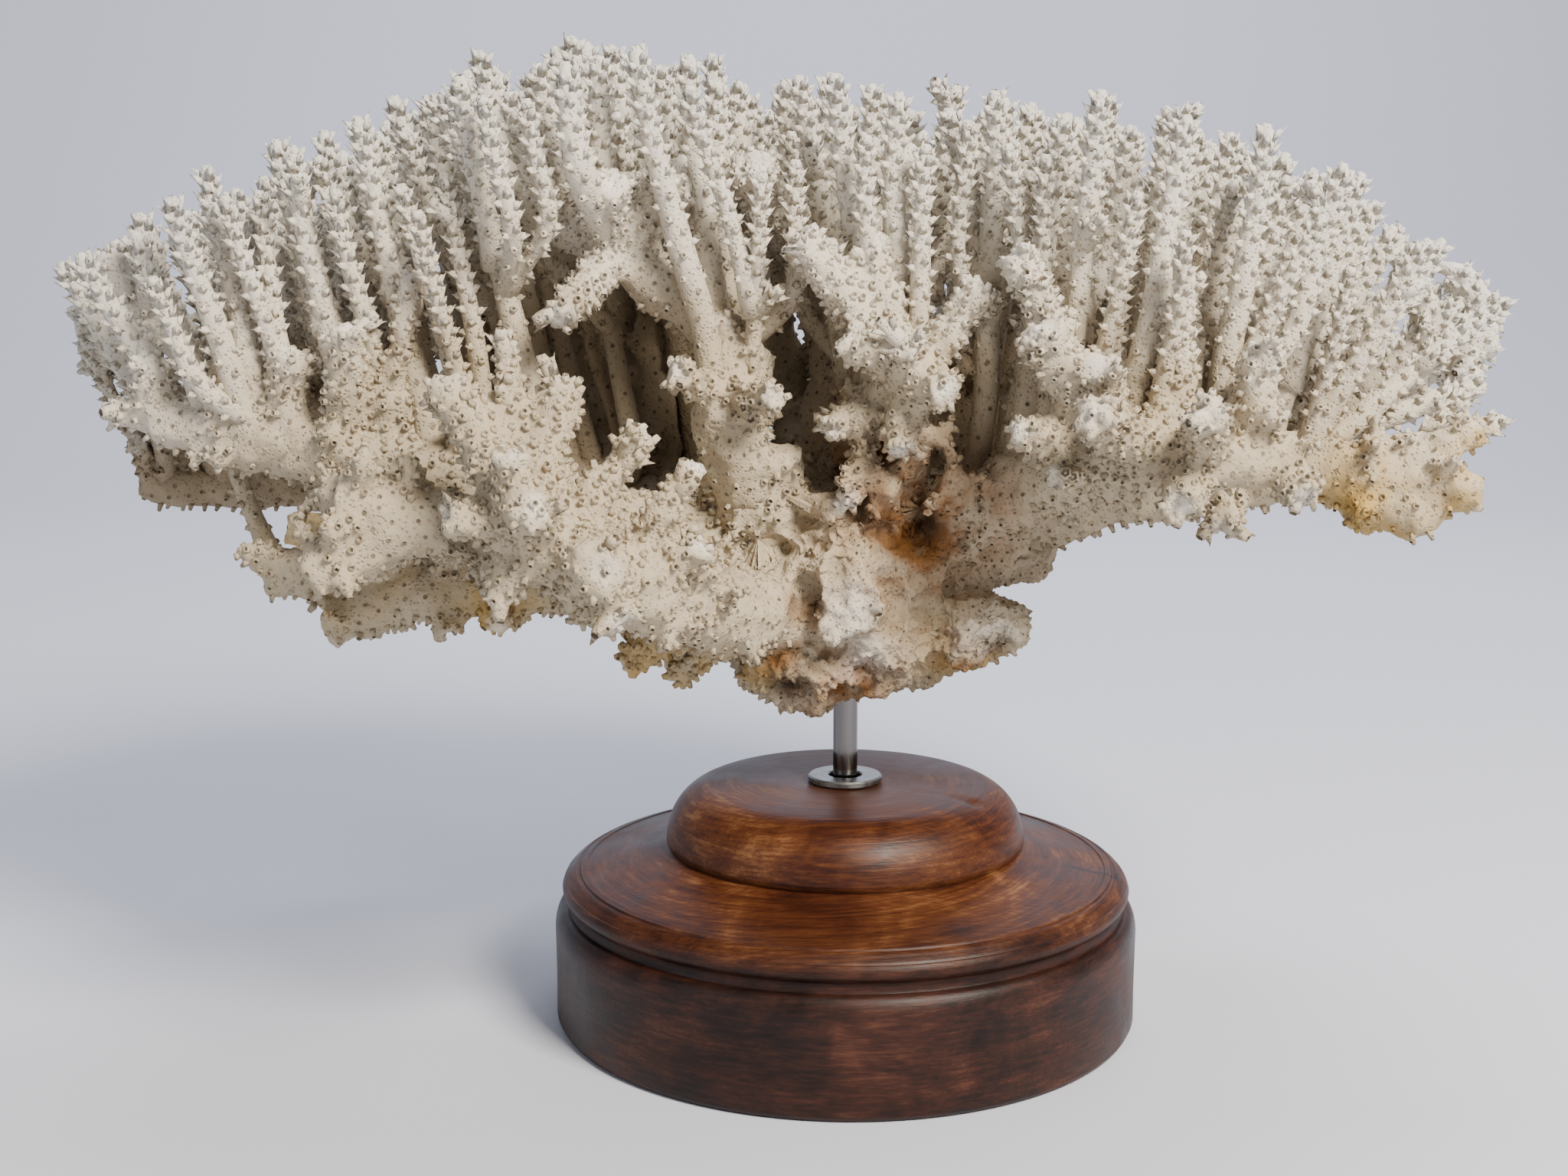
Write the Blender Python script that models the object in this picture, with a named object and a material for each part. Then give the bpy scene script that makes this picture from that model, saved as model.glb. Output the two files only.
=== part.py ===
# Coral colony on a steel rod over a turned wooden base.
# Metres, +Z up, origin at the centre of the base's underside, the colony's long side along X.
# The colony is split at its main forks: one trunk and the limbs that leave it, each a solid of its own
# with the fingers that grow from it. The rod runs from a hole in the wood to a hole in the trunk.

import math
import random

import bmesh
import bpy
import numpy as np
from mathutils import Matrix, Vector, noise

MM = 0.001
GAP = 0.4 * MM              # clear space between pieces that touch

# Turned base
BASE_RADIUS = 95 * MM
BASE_TOP = 76.3 * MM
BASE_STEPS = 32
ROD_RADIUS = 4 * MM
ROD_FOOT = 50 * MM          # the rod stands this high inside the wood
ROD_HEAD = 132 * MM         # and ends this high inside the trunk
WASHER_RADIUS = 12 * MM
WASHER_HOLE = 5.4 * MM
WASHER_THICKNESS = 2.2 * MM

# Fingers, the upright branchlets
FINGER_SPACING = 22 * MM
FINGER_RADIUS = 5.4 * MM
FINGER_TIP_RADIUS = 3.4 * MM
FINGER_SIDES = 5
LIMB_SIDES = 6
ELBOW_SLOPE = 0.8           # a finger leaves its root aslant, rising this much for each unit sideways
FINGER_REACH = 34 * MM      # the farthest sideways that a finger starts
STRAIGHT_REACH = 17 * MM    # a finger that stands nearer than this rises straight from its root
STEM_DROP = 28 * MM         # a finger rises from a limb at least this far below its tip
FORK_DROP = (52 * MM, 105 * MM)  # a finger forks from another this far below its own tip
DROP_COST = 0.08            # how much a long finger is put off against one that starts far aside
STALK_RADIUS = 6.4 * MM     # a finger that rises from a limb is this thick at its root
FINGER_CLEARANCE = 0.7 * MM  # between the fingers of two limbs
FINGER_CROWDING = 3.5 * MM  # how far the upper halves of two fingers of one limb may grow into each other
ROOT_TRIES = 40             # how many places of a root are tried for each tip
SEED = 7
FACETS_KEPT = 0.66          # the rest are slivers where branches meet

# Height of the finger tips along X, in mm: the colony's skyline
SKYLINE = [(-254, 250), (-202, 264), (-161, 288), (-128, 302), (-92, 312), (-31, 307), (15, 297),
           (76, 297), (112, 290), (129, 281), (152, 272), (173, 256), (188, 242), (216, 227)]
SKYLINE_CREST_Y = 10        # the skyline is highest here and falls off towards front and back
SKYLINE_FALL = 0.0012       # mm of fall for each squared mm from the crest

# Sideways lean of a finger for each unit that it rises, along X and along Y
LEAN_X = [(-240, -0.55), (-185, -0.18), (-110, -0.24), (-50, -0.1), (0, 0.0), (60, 0.08), (120, 0.12), (150, 0.3),
          (180, 0.7), (205, 1.3)]
LEAN_Y = [(-90, -0.14), (20, 0.0), (150, 0.3)]

# Outline of the finger tips seen from above, in mm
CROWN_OUTLINE = [(-250, -10), (-232, -50), (-190, -62), (-140, -62), (-95, -78), (-55, -70), (-10, -52),
                 (40, -66), (85, -84), (140, -74), (185, -48), (214, -8), (208, 40), (182, 92), (135, 132),
                 (62, 156), (-20, 160), (-100, 150), (-172, 126), (-222, 76), (-246, 24)]

# Limbs, from the trunk outwards: each path is a list of points and end radii, in mm.
# The first path of a limb is its stem, and the others fork from it.
LIMBS = {
    "crown_left_limb": [
        ([(-16, -16, 150), (-30, -34, 174), (-38, -38, 198), (-32, -32, 220)], 13, 11),
        ([(-32, -32, 218), (-70, -36, 246), (-108, -30, 266)], 9, 6),
        ([(-32, -30, 218), (-58, -8, 252), (-88, 4, 280)], 8, 6)],
    "crown_middle_limb": [
        ([(-2, 0, 160), (-4, 0, 192), (0, 6, 222)], 14, 11),
        ([(0, 4, 220), (-22, 24, 250)], 9, 7),
        ([(0, 6, 218), (30, 12, 246)], 9, 7),
        ([(-2, -2, 186), (8, -32, 200), (17, -50, 210)], 10, 8)],
    "crown_back_limb": [
        ([(4, 20, 158), (8, 68, 182), (4, 106, 194), (0, 140, 199)], 12, 7)],
    "crown_back_left_limb": [
        ([(-20, 20, 160), (-46, 58, 180), (-64, 94, 192), (-80, 132, 197)], 12, 7)],
    "left_back_limb": [
        ([(-40, 18, 160), (-96, 62, 176), (-140, 86, 184), (-184, 104, 191)], 12, 7),
        ([(-96, 62, 176), (-116, 98, 185), (-126, 128, 189)], 9, 6),
        ([(-140, 86, 184), (-184, 62, 190), (-214, 50, 198)], 8, 6)],
    "left_wing_limb": [
        ([(-40, 2, 158), (-102, 8, 175), (-138, 16, 184), (-174, 14, 195), (-200, 4, 207), (-218, -6, 228),
          (-232, -10, 246)], 13, 6),
        ([(-102, 8, 174), (-168, 24, 169), (-232, 16, 173)], 8, 6.8)],
    "left_arm_limb": [
        ([(-30, -20, 154), (-76, -42, 167), (-107, -50, 177), (-150, -48, 188), (-184, -42, 194), (-206, -38, 199)],
         14, 9)],
    "lower_left_limb": [
        ([(-34, -30, 146), (-68, -58, 156), (-101, -76, 170), (-124, -84, 174)], 13, 10),
        ([(-122, -84, 172), (-152, -90, 158)], 9, 8),
        ([(-118, -82, 172), (-145, -90, 181)], 10, 9),
        ([(-104, -76, 168), (-138, -66, 166), (-164, -66, 168)], 7, 5.5)],
    "under_left_limb": [
        ([(-30, -14, 138), (-58, -24, 140), (-92, -40, 149), (-126, -46, 147), (-158, -46, 138)], 13, 7),
        ([(-122, -44, 147), (-150, -34, 151), (-178, -26, 150)], 8, 8)],
    "front_limb": [
        ([(-14, -24, 138), (-36, -58, 142), (-56, -88, 152), (-74, -106, 164), (-88, -112, 174)], 14, 11)],
    "right_front_limb": [
        ([(26, -8, 158), (52, -40, 178), (74, -66, 189), (98, -78, 191), (124, -76, 189)], 13, 9)],
    "right_low_limb": [
        ([(36, -2, 156), (88, -22, 176), (134, -36, 182), (158, -46, 182)], 13, 10),
        ([(152, -44, 183), (186, -50, 195)], 6.5, 4.5),
        ([(152, -44, 181), (185, -55, 177)], 8, 6.5),
        ([(150, -44, 180), (169, -52, 166)], 8, 6)],
    "right_middle_limb": [
        ([(36, 8, 158), (80, 14, 173), (122, 12, 186), (164, 4, 202), (202, -5, 222)], 13, 7),
        ([(122, 12, 186), (154, 36, 195), (188, 46, 203)], 9, 6)],
    "right_back_limb": [
        ([(30, 18, 160), (66, 58, 178), (92, 86, 188), (110, 124, 193)], 12, 7),
        ([(66, 58, 178), (106, 62, 187), (148, 78, 193)], 9, 6),
        ([(66, 58, 178), (56, 100, 189), (48, 134, 193)], 8, 6)],
}

# Broken stubs and single fingers that stand out at the front: tip in mm, radius at the limb and at the tip
STUBS = {
    "crown_left_limb": [((-69, -58, 266), 7.5, 7), ((-84, -66, 228), 7, 6), ((-52, -62, 214), 7, 5),
                        ((-22, -66, 206), 6.5, 5), ((-50, -44, 270), 7, 7), ((-118, -44, 250), 6.5, 4.5)],
    "crown_middle_limb": [((-30, -40, 272), 6.5, 6.5), ((-16, -52, 252), 7, 6.5), ((4, -48, 250), 6.5, 6),
                          ((-2, -62, 222), 7, 6.5), ((13, -66, 222), 7, 6.5), ((26, -68, 208), 8, 7),
                          ((14, -56, 190), 7, 6), ((-8, -52, 195), 6.5, 5.5), ((-2, -50, 174), 5.5, 4.5),
                          ((38, -56, 238), 7, 6.5)],
    "left_wing_limb": [((-244, 14, 211), 6.5, 6.5), ((-226, 0, 188), 5, 4)],
    "left_arm_limb": [((-181, -46, 221), 8, 6.5), ((-164, -49, 218), 8, 7.5), ((-222, -41, 201), 6.5, 5.5),
                      ((-144, -60, 226), 7.5, 6.5), ((-208, -46, 216), 7, 6), ((-126, -54, 244), 6, 4)],
    "lower_left_limb": [((-98, -94, 158), 9, 7)],
    "under_left_limb": [((-148, -47, 132), 6, 5), ((-119, -51, 134), 7, 6), ((-104, -54, 138), 6, 5)],
    "front_limb": [((-110, -101, 213), 8, 7), ((-90, -126, 196), 7, 6.5), ((-84, -130, 182), 9, 8),
                   ((-66, -128, 166), 11, 10), ((-63, -114, 150), 9, 8), ((-98, -114, 154), 8, 5),
                   ((-79, -96, 213), 8, 6), ((-58, -100, 200), 7, 5), ((-44, -96, 190), 6, 4),
                   ((-42, -96, 168), 6.5, 5.5), ((-96, -92, 224), 6, 4), ((-108, -118, 178), 8, 6),
                   ((-53, -46, 122), 8, 6), ((-66, -58, 128), 8, 6)],
    "right_front_limb": [((44, -64, 248), 7, 6.5), ((50, -84, 226), 9, 8), ((66, -88, 216), 7, 6),
                         ((44, -82, 198), 8, 6.5), ((90, -64, 246), 6.5, 6), ((62, -104, 204), 8, 7),
                         ((92, -106, 204), 9, 6), ((112, -84, 222), 7.5, 6), ((88, -94, 178), 9, 7),
                         ((122, -92, 180), 7, 5.5), ((54, -84, 184), 6.5, 5)],
    "right_low_limb": [((150, -42, 167), 9, 7), ((112, -44, 166), 7, 5)],
    "right_middle_limb": [((190, -2, 242), 6.5, 5.5), ((172, 8, 254), 6, 5), ((192, -13, 209), 6, 5)],
}

# Lumps of the trunk: centre and half sizes, in mm
TRUNK_LUMPS = {
    "body": ((0, -2, 150), (46, 38, 30)),
    "foot": ((2, -8, 127), (40, 33, 19)),
    "toe_left": ((-16, -24, 121), (21, 20, 15)),
    "toe_right": ((38, -24, 131), (18, 17, 12)),
    "knuckle": ((-5, -38, 156), (16, 16, 12)),
    "ledge": ((50, -4, 148), (15, 10, 6)),
    "shoulder_left": ((-36, -6, 150), (24, 26, 18)),
    "shoulder_right": ((44, 0, 156), (26, 24, 15)),
}
FINE_LUMP = 30              # a lump with a larger half size than this gets smaller facets
TRUNK_SCAR = [((0, -28, 140), 12), ((-1, -55, 142), 11)]
TRUNK_ROUGHNESS = 2.2 * MM
TRUNK_ROUGHNESS_SCALE = 55  # noise cells in one metre


def clear_scene():
    for obj in list(bpy.data.objects):
        bpy.data.objects.remove(obj)


def material(name, colour, roughness, metallic=0.0):
    made = bpy.data.materials.new(name)
    made.use_nodes = True
    shader = made.node_tree.nodes["Principled BSDF"]
    shader.inputs["Base Color"].default_value = (*colour, 1.0)
    shader.inputs["Roughness"].default_value = roughness
    shader.inputs["Metallic"].default_value = metallic
    return made


def object_from(bm, name, finish=None):
    """A linked object that holds the bmesh, with its faces turned outwards."""
    bmesh.ops.recalc_face_normals(bm, faces=bm.faces)
    mesh = bpy.data.meshes.new(name)
    bm.to_mesh(mesh)
    bm.free()
    obj = bpy.data.objects.new(name, mesh)
    bpy.context.scene.collection.objects.link(obj)
    if finish:
        mesh.materials.append(finish)
    return obj


def lookup(table, x):
    """Straight-line reading of a table of (x, value), held level past its ends."""
    if x <= table[0][0]:
        return table[0][1]
    for (x0, v0), (x1, v1) in zip(table, table[1:]):
        if x <= x1:
            return v0 + (v1 - v0) * (x - x0) / (x1 - x0)
    return table[-1][1]


def tip_height(x, y):
    fall = SKYLINE_FALL * (y / MM - SKYLINE_CREST_Y) ** 2
    return (lookup(SKYLINE, x / MM) - fall) * MM


def inside_outline(x, y):
    """Whether a point seen from above is in the crown, by counting the outline's edges to its right."""
    inside = False
    for (x0, y0), (x1, y1) in zip(CROWN_OUTLINE, CROWN_OUTLINE[1:] + CROWN_OUTLINE[:1]):
        if (y0 * MM > y) != (y1 * MM > y):
            crossing = x0 + (y / MM - y0) / (y1 - y0) * (x1 - x0)
            if x < crossing * MM:
                inside = not inside
    return inside


def points_of(path):
    return [Vector(p) * MM for p in path]


def branch(points, first_radius, last_radius):
    """A tapered branch: its points and the radius at each."""
    last = len(points) - 1
    radii = [first_radius + (last_radius - first_radius) * i / last for i in range(len(points))]
    return points, radii


def samples(shape, step=4 * MM):
    """Rows of x, y, z and radius spaced along a branch, for measuring the room between branches."""
    points, radii = shape
    rows = []
    for a, b, ra, rb in zip(points, points[1:], radii, radii[1:]):
        count = max(2, math.ceil((b - a).length / step))
        rows += [(*a.lerp(b, i / count), ra + (rb - ra) * i / count) for i in range(count + 1)]
    return np.array(rows)


def clear_of(found, others, margin):
    """Whether every sample of one set keeps the margin to every sample of another."""
    if not len(found) or not len(others):
        return True
    apart = np.linalg.norm(found[:, None, :3] - others[None, :, :3], axis=2)
    return bool((apart - found[:, None, 3] - others[None, :, 3]).min() > margin)


def grow_colony():
    """Every branch of the colony, by limb: stems and forks, then stubs, then fingers."""
    limbs = {name: [branch(points_of(path), r0 * MM, r1 * MM) for path, r0, r1 in paths]
             for name, paths in LIMBS.items()}
    stems = {name: np.vstack([samples(shape) for shape in shapes]) for name, shapes in limbs.items()}
    for name, stubs in STUBS.items():
        for tip, r0, r1 in stubs:
            tip = Vector(tip) * MM
            nearest = np.linalg.norm(stems[name][:, :3] - np.array(tip), axis=1).argmin()
            limbs[name].append(branch([Vector(stems[name][nearest, :3]), tip], r0 * MM, r1 * MM))
    taken = {name: np.vstack([samples(shape) for shape in shapes]) for name, shapes in limbs.items()}
    fingers = {name: np.empty((0, 4)) for name in limbs}
    for tip in finger_sites(np.vstack(list(stems.values()))):
        for name, finger in fingers_to(tip, stems, fingers):
            found = samples(finger)
            others = np.vstack([room for other, room in taken.items() if other != name])
            free = found[found[:, 2] > (finger[0][0].z + tip.z) / 2]
            if clear_of(found, others, FINGER_CLEARANCE) and clear_of(free, fingers[name], -FINGER_CROWDING):
                limbs[name].append(finger)
                taken[name] = np.vstack([taken[name], found])
                fingers[name] = np.vstack([fingers[name], found])
                break
    return limbs


def finger_sites(stems):
    """Places of the finger tips: a triangular grid seen from above, shaken a little, nearest to a limb first."""
    dice = random.Random(SEED)
    row_step = FINGER_SPACING * math.sqrt(3) / 2
    shake = FINGER_SPACING * 0.2
    lowest = min(y for _, y in CROWN_OUTLINE) * MM
    highest = max(y for _, y in CROWN_OUTLINE) * MM
    leftmost = min(x for x, _ in CROWN_OUTLINE) * MM
    rightmost = max(x for x, _ in CROWN_OUTLINE) * MM
    sites = []
    for row in range(math.ceil((highest - lowest) / row_step)):
        for column in range(math.ceil((rightmost - leftmost) / FINGER_SPACING)):
            x = leftmost + (column + row % 2 / 2) * FINGER_SPACING + dice.uniform(-shake, shake)
            y = lowest + row * row_step + dice.uniform(-shake, shake)
            height = dice.uniform(-9, 2) * MM
            if inside_outline(x, y):
                sites.append(Vector((x, y, tip_height(x, y) + height)))
    return sorted(sites, key=lambda tip: reaches(tip, stems).min())


def lean_at(tip):
    return Vector((lookup(LEAN_X, tip.x / MM), lookup(LEAN_Y, tip.y / MM), 1.0))


def reaches(tip, roots):
    """How far sideways from each root a finger with this tip would stand."""
    feet = np.array(tip) - (tip.z - roots[:, 2:3]) * np.array(lean_at(tip))
    return np.linalg.norm(feet - roots[:, :3], axis=1)


def fingers_to(tip, stems, fingers):
    """Fingers with this tip that rise from a stem or fork from a finger, with their limb, the best ones first."""
    choices = []
    for name in stems:
        for roots, drops, thick in ((stems[name], (STEM_DROP, 1.0), STALK_RADIUS),
                                    (fingers[name], FORK_DROP, FINGER_RADIUS)):
            reach = reaches(tip, roots)
            drop = tip.z - roots[:, 2]
            fit = (reach < FINGER_REACH) & (drop > drops[0]) & (drop < drops[1])
            cost = reach + DROP_COST * drop
            choices += [(cost[i], name, Vector(roots[i, :3]), reach[i], thick) for i in np.nonzero(fit)[0]]
    choices.sort(key=lambda choice: choice[0])
    for _, name, root, reach, thick in choices[:ROOT_TRIES]:
        if reach < STRAIGHT_REACH:
            yield name, ([root, tip], [thick, FINGER_TIP_RADIUS])
        else:
            foot = tip - lean_at(tip) * (tip.z - root.z)
            elbow = foot.lerp(tip, ELBOW_SLOPE * reach / (tip.z - root.z))
            yield name, ([root, elbow, tip], [thick * 0.9, thick * 0.95, FINGER_TIP_RADIUS])


def tube(shape, sides, name):
    """A round branch: a ring is extruded from point to point, turned and narrowed as it goes."""
    points, radii = shape
    runs = [(b - a).normalized() for a, b in zip(points, points[1:])]
    facings = [runs[0]] + [(a + b).normalized() for a, b in zip(runs, runs[1:])] + [runs[-1]]
    upright = Vector((0, 0, 1)).rotation_difference(facings[0]).to_matrix().to_4x4()
    bm = bmesh.new()
    bmesh.ops.create_circle(bm, cap_ends=True, segments=sides, radius=radii[0],
                            matrix=Matrix.Translation(points[0]) @ upright)
    cap = next(iter(bm.faces))
    for i in range(1, len(points)):
        grown = bmesh.ops.extrude_face_region(bm, geom=[cap])["geom"]
        if i > 1:
            bmesh.ops.delete(bm, geom=[cap], context="FACES_ONLY")
        ring = [v for v in grown if isinstance(v, bmesh.types.BMVert)]
        cap = next(f for f in grown if isinstance(f, bmesh.types.BMFace))
        turn = facings[i - 1].rotation_difference(facings[i]).to_matrix()
        bmesh.ops.translate(bm, verts=ring, vec=points[i] - points[i - 1])
        bmesh.ops.rotate(bm, verts=ring, cent=points[i], matrix=turn)
        bmesh.ops.scale(bm, verts=ring, vec=[radii[i] / radii[i - 1]] * 3, space=Matrix.Translation(-points[i]))
    return object_from(bm, name)


def joined(parts, name, finish, facets_kept=1.0):
    """One solid from overlapping closed shapes, by a Boolean union."""
    helpers = bpy.data.collections.new(name + "_parts")
    bpy.context.scene.collection.children.link(helpers)
    body = parts[0]
    for part in parts[1:]:
        bpy.context.scene.collection.objects.unlink(part)
        helpers.objects.link(part)
    return boolean(body, helpers, "UNION", name, finish, facets_kept)


def boolean(body, helpers, operation, name, finish, facets_kept=1.0):
    """Applies a Boolean with every object of a collection, and removes the collection."""
    modifier = body.modifiers.new(operation.lower(), "BOOLEAN")
    modifier.operation = operation
    modifier.operand_type = "COLLECTION"
    modifier.collection = helpers
    modifier.solver = "EXACT"
    if facets_kept < 1.0:
        body.modifiers.new("fewer facets", "DECIMATE").ratio = facets_kept
    bpy.context.view_layer.update()
    graph = bpy.context.evaluated_depsgraph_get()
    mesh = bpy.data.meshes.new_from_object(body.evaluated_get(graph))
    mesh.name = name
    keep_main_body(mesh)
    mesh.materials.clear()
    mesh.materials.append(finish)
    solid = bpy.data.objects.new(name, mesh)
    for helper in list(helpers.objects) + [body]:
        bpy.data.objects.remove(helper)
    bpy.data.collections.remove(helpers)
    bpy.context.scene.collection.objects.link(solid)
    return solid


def keep_main_body(mesh):
    """Deletes the chips that a cut leaves, and the walls of any closed pocket."""
    bm = bmesh.new()
    bm.from_mesh(mesh)
    waiting = set(bm.verts)
    bodies = []
    while waiting:
        body = {waiting.pop()}
        front = set(body)
        while front:
            front = {v for seen in front for edge in seen.link_edges for v in edge.verts if v in waiting}
            waiting -= front
            body |= front
        bodies.append(body)
    bodies.sort(key=len)
    spare = [v for body in bodies[:-1] for v in body]
    bmesh.ops.delete(bm, geom=spare, context="VERTS")
    bmesh.ops.delete(bm, geom=[e for e in bm.edges if not e.link_faces], context="EDGES")
    bm.to_mesh(mesh)
    bm.free()


def lump(centre, half_sizes, name, extra=0.0):
    """A rough ellipsoid of the trunk."""
    bm = bmesh.new()
    bmesh.ops.create_icosphere(bm, subdivisions=2 if max(half_sizes) > FINE_LUMP else 1, radius=1.0)
    for v in bm.verts:
        v.co = Vector(c * (h * MM + extra) for c, h in zip(v.co, half_sizes)) + Vector(centre) * MM
        v.co += noise.noise_vector(v.co * TRUNK_ROUGHNESS_SCALE) * TRUNK_ROUGHNESS
    return object_from(bm, name)


def trunk_parts(extra=0.0):
    parts = [lump(centre, half, "trunk_" + name, extra) for name, (centre, half) in TRUNK_LUMPS.items()]
    scar = [Vector(p) * MM for p, _ in TRUNK_SCAR], [r * MM + extra for _, r in TRUNK_SCAR]
    return parts + [tube(scar, LIMB_SIDES, "trunk_scar")]


def cylinder(radius, low, high, name, sides=16):
    bm = bmesh.new()
    bmesh.ops.create_cone(bm, cap_ends=True, segments=sides, radius1=radius, radius2=radius, depth=high - low,
                          matrix=Matrix.Translation((0, 0, (low + high) / 2)))
    return object_from(bm, name)


def cut(body, cutters, name, finish):
    """The body less the cutters."""
    helpers = bpy.data.collections.new(name + "_cutters")
    bpy.context.scene.collection.children.link(helpers)
    for cutter in cutters:
        bpy.context.scene.collection.objects.unlink(cutter)
        helpers.objects.link(cutter)
    return boolean(body, helpers, "DIFFERENCE", name, finish)


def make_trunk(finish):
    trunk = joined(trunk_parts(), "trunk_whole", finish)
    bore = cylinder(ROD_RADIUS + GAP, BASE_TOP, ROD_HEAD + GAP, "trunk_bore")
    return cut(trunk, [bore], "coral_trunk", finish)


def make_limb(name, shapes, earlier_stems, finish):
    """A limb with all that grows from it, cut back to the trunk and to the limbs that fork before it."""
    stem_count = len(LIMBS[name])
    parts = [tube(shape, LIMB_SIDES if i < stem_count else FINGER_SIDES, f"{name}_{i}")
             for i, shape in enumerate(shapes)]
    whole = joined(parts, name + "_whole", finish, FACETS_KEPT)
    cutters = trunk_parts(GAP)
    for i, (points, radii) in enumerate(earlier_stems):
        cutters.append(tube((points, [r + GAP for r in radii]), LIMB_SIDES, f"{name}_cutter_{i}"))
    return cut(whole, cutters, name, finish)


def make_base(finish):
    """The turned base: a profile of its right side, spun round the axis, with a hole for the rod."""
    dome_low, dome_side, dome_radius = 58 * MM, 58.5 * MM, 43 * MM
    rim_radius, rim_height = 92.5 * MM, 44 * MM
    dome = [(dome_radius + (dome_side - dome_radius) * math.sin(a), dome_low + (BASE_TOP - dome_low) * math.cos(a))
            for a in (math.radians(d) for d in (0, 30, 60, 90))]
    hole = ROD_RADIUS + GAP
    profile = [(hole, BASE_TOP), *dome, (dome_side - 0.6 * MM, 56.6 * MM), (72 * MM, 53.4 * MM), (86.5 * MM, 49.4 * MM),
               (rim_radius - 3 * MM, 48.4 * MM), (rim_radius, rim_height), (rim_radius - 1 * MM, 41 * MM),
               (rim_radius - 1.6 * MM, 37.6 * MM), (BASE_RADIUS - 0.8 * MM, 34.5 * MM),
               (BASE_RADIUS, 30 * MM), (BASE_RADIUS, 0)]
    bm = bmesh.new()
    corners = [bm.verts.new((x, 0, z)) for x, z in profile + [(0, 0), (0, ROD_FOOT - GAP), (hole, ROD_FOOT - GAP)]]
    edges = [bm.edges.new(pair) for pair in zip(corners, corners[1:] + corners[:1])]
    axis_edge = next(e for e in edges if all(abs(v.co.x) < 1e-9 for v in e.verts))
    edges.remove(axis_edge)
    bm.edges.remove(axis_edge)
    bmesh.ops.spin(bm, geom=edges, cent=(0, 0, 0), axis=(0, 0, 1), angle=2 * math.pi, steps=BASE_STEPS,
                   use_merge=True)
    bmesh.ops.remove_doubles(bm, verts=bm.verts, dist=1e-6)
    return object_from(bm, "wooden_base", finish)


def make_washer(finish):
    low = BASE_TOP + 0.3 * MM
    bm = bmesh.new()
    corners = [(WASHER_HOLE, low), (WASHER_RADIUS, low), (WASHER_RADIUS, low + WASHER_THICKNESS),
               (WASHER_HOLE, low + WASHER_THICKNESS)]
    ring = [bm.verts.new((x, 0, z)) for x, z in corners]
    edges = [bm.edges.new(pair) for pair in zip(ring, ring[1:] + ring[:1])]
    bmesh.ops.spin(bm, geom=edges, cent=(0, 0, 0), axis=(0, 0, 1), angle=2 * math.pi, steps=20, use_merge=True)
    return object_from(bm, "washer", finish)


def main():
    clear_scene()
    noise.seed_set(SEED)
    coral = material("coral skeleton", (0.78, 0.74, 0.66), 0.85)
    wood = material("stained wood", (0.16, 0.075, 0.04), 0.45)
    steel = material("polished steel", (0.55, 0.55, 0.55), 0.25, 1.0)
    make_base(wood)
    make_washer(steel)
    rod = cylinder(ROD_RADIUS, ROD_FOOT, ROD_HEAD, "rod")
    rod.data.materials.append(steel)
    make_trunk(coral)
    stems = []
    for name, shapes in grow_colony().items():
        make_limb(name, shapes, stems, coral)
        stems += shapes[:len(LIMBS[name])]


main()
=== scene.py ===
# %% [markdown]
# # A coral specimen on a turned stand
#
# The real object is the bleached skeleton of a branching stony coral, about 45 cm long. A steel rod carries
# it over a turned wooden base. The solids come from a CAD model that is already right in size and place.
# This lesson dresses them: the coral gets a skin with its thousands of tiny cups, and wood and steel get
# their finish.

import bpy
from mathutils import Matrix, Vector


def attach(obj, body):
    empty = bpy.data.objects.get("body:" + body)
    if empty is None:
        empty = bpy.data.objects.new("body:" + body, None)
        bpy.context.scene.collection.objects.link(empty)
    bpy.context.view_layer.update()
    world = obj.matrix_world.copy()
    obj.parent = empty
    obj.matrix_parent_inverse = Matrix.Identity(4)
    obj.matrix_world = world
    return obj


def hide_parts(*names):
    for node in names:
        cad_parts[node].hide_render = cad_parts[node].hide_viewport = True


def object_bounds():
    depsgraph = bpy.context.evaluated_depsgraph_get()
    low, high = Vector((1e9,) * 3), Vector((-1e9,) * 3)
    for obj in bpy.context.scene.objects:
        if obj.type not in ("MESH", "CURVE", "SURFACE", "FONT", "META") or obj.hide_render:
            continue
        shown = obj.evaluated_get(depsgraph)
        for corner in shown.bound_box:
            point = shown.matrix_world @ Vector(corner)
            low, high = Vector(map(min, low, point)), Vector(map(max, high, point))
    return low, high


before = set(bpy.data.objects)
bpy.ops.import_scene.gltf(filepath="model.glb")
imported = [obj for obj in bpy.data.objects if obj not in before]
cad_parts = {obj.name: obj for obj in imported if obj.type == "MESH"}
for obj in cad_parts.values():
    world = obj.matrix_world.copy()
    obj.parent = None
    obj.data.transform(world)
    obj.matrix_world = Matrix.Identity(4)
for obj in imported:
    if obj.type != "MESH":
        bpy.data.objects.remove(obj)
CAD_BOX = [list(corner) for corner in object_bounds()]
print("CAD nodes:", sorted(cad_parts))

# %% Modules and units
import math
import random

import bmesh
import bpy
import numpy as np
from mathutils import Matrix, Vector, kdtree, noise

MM = 0.001
SEED = 7
noise.seed_set(SEED)
scene = bpy.context.scene

# %% [markdown]
# ## Small helpers
#
# Colours are written as the hex values that a colour picker shows. A shader wants them linear, so one
# function turns them. Others add an object or a finished piece to the scene. Another adds a node to a
# material, with its settings and the links into it, in a single call, and a few short ones stand on it for
# what every material here needs: noise, ranges, sums and layers of colour.


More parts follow.
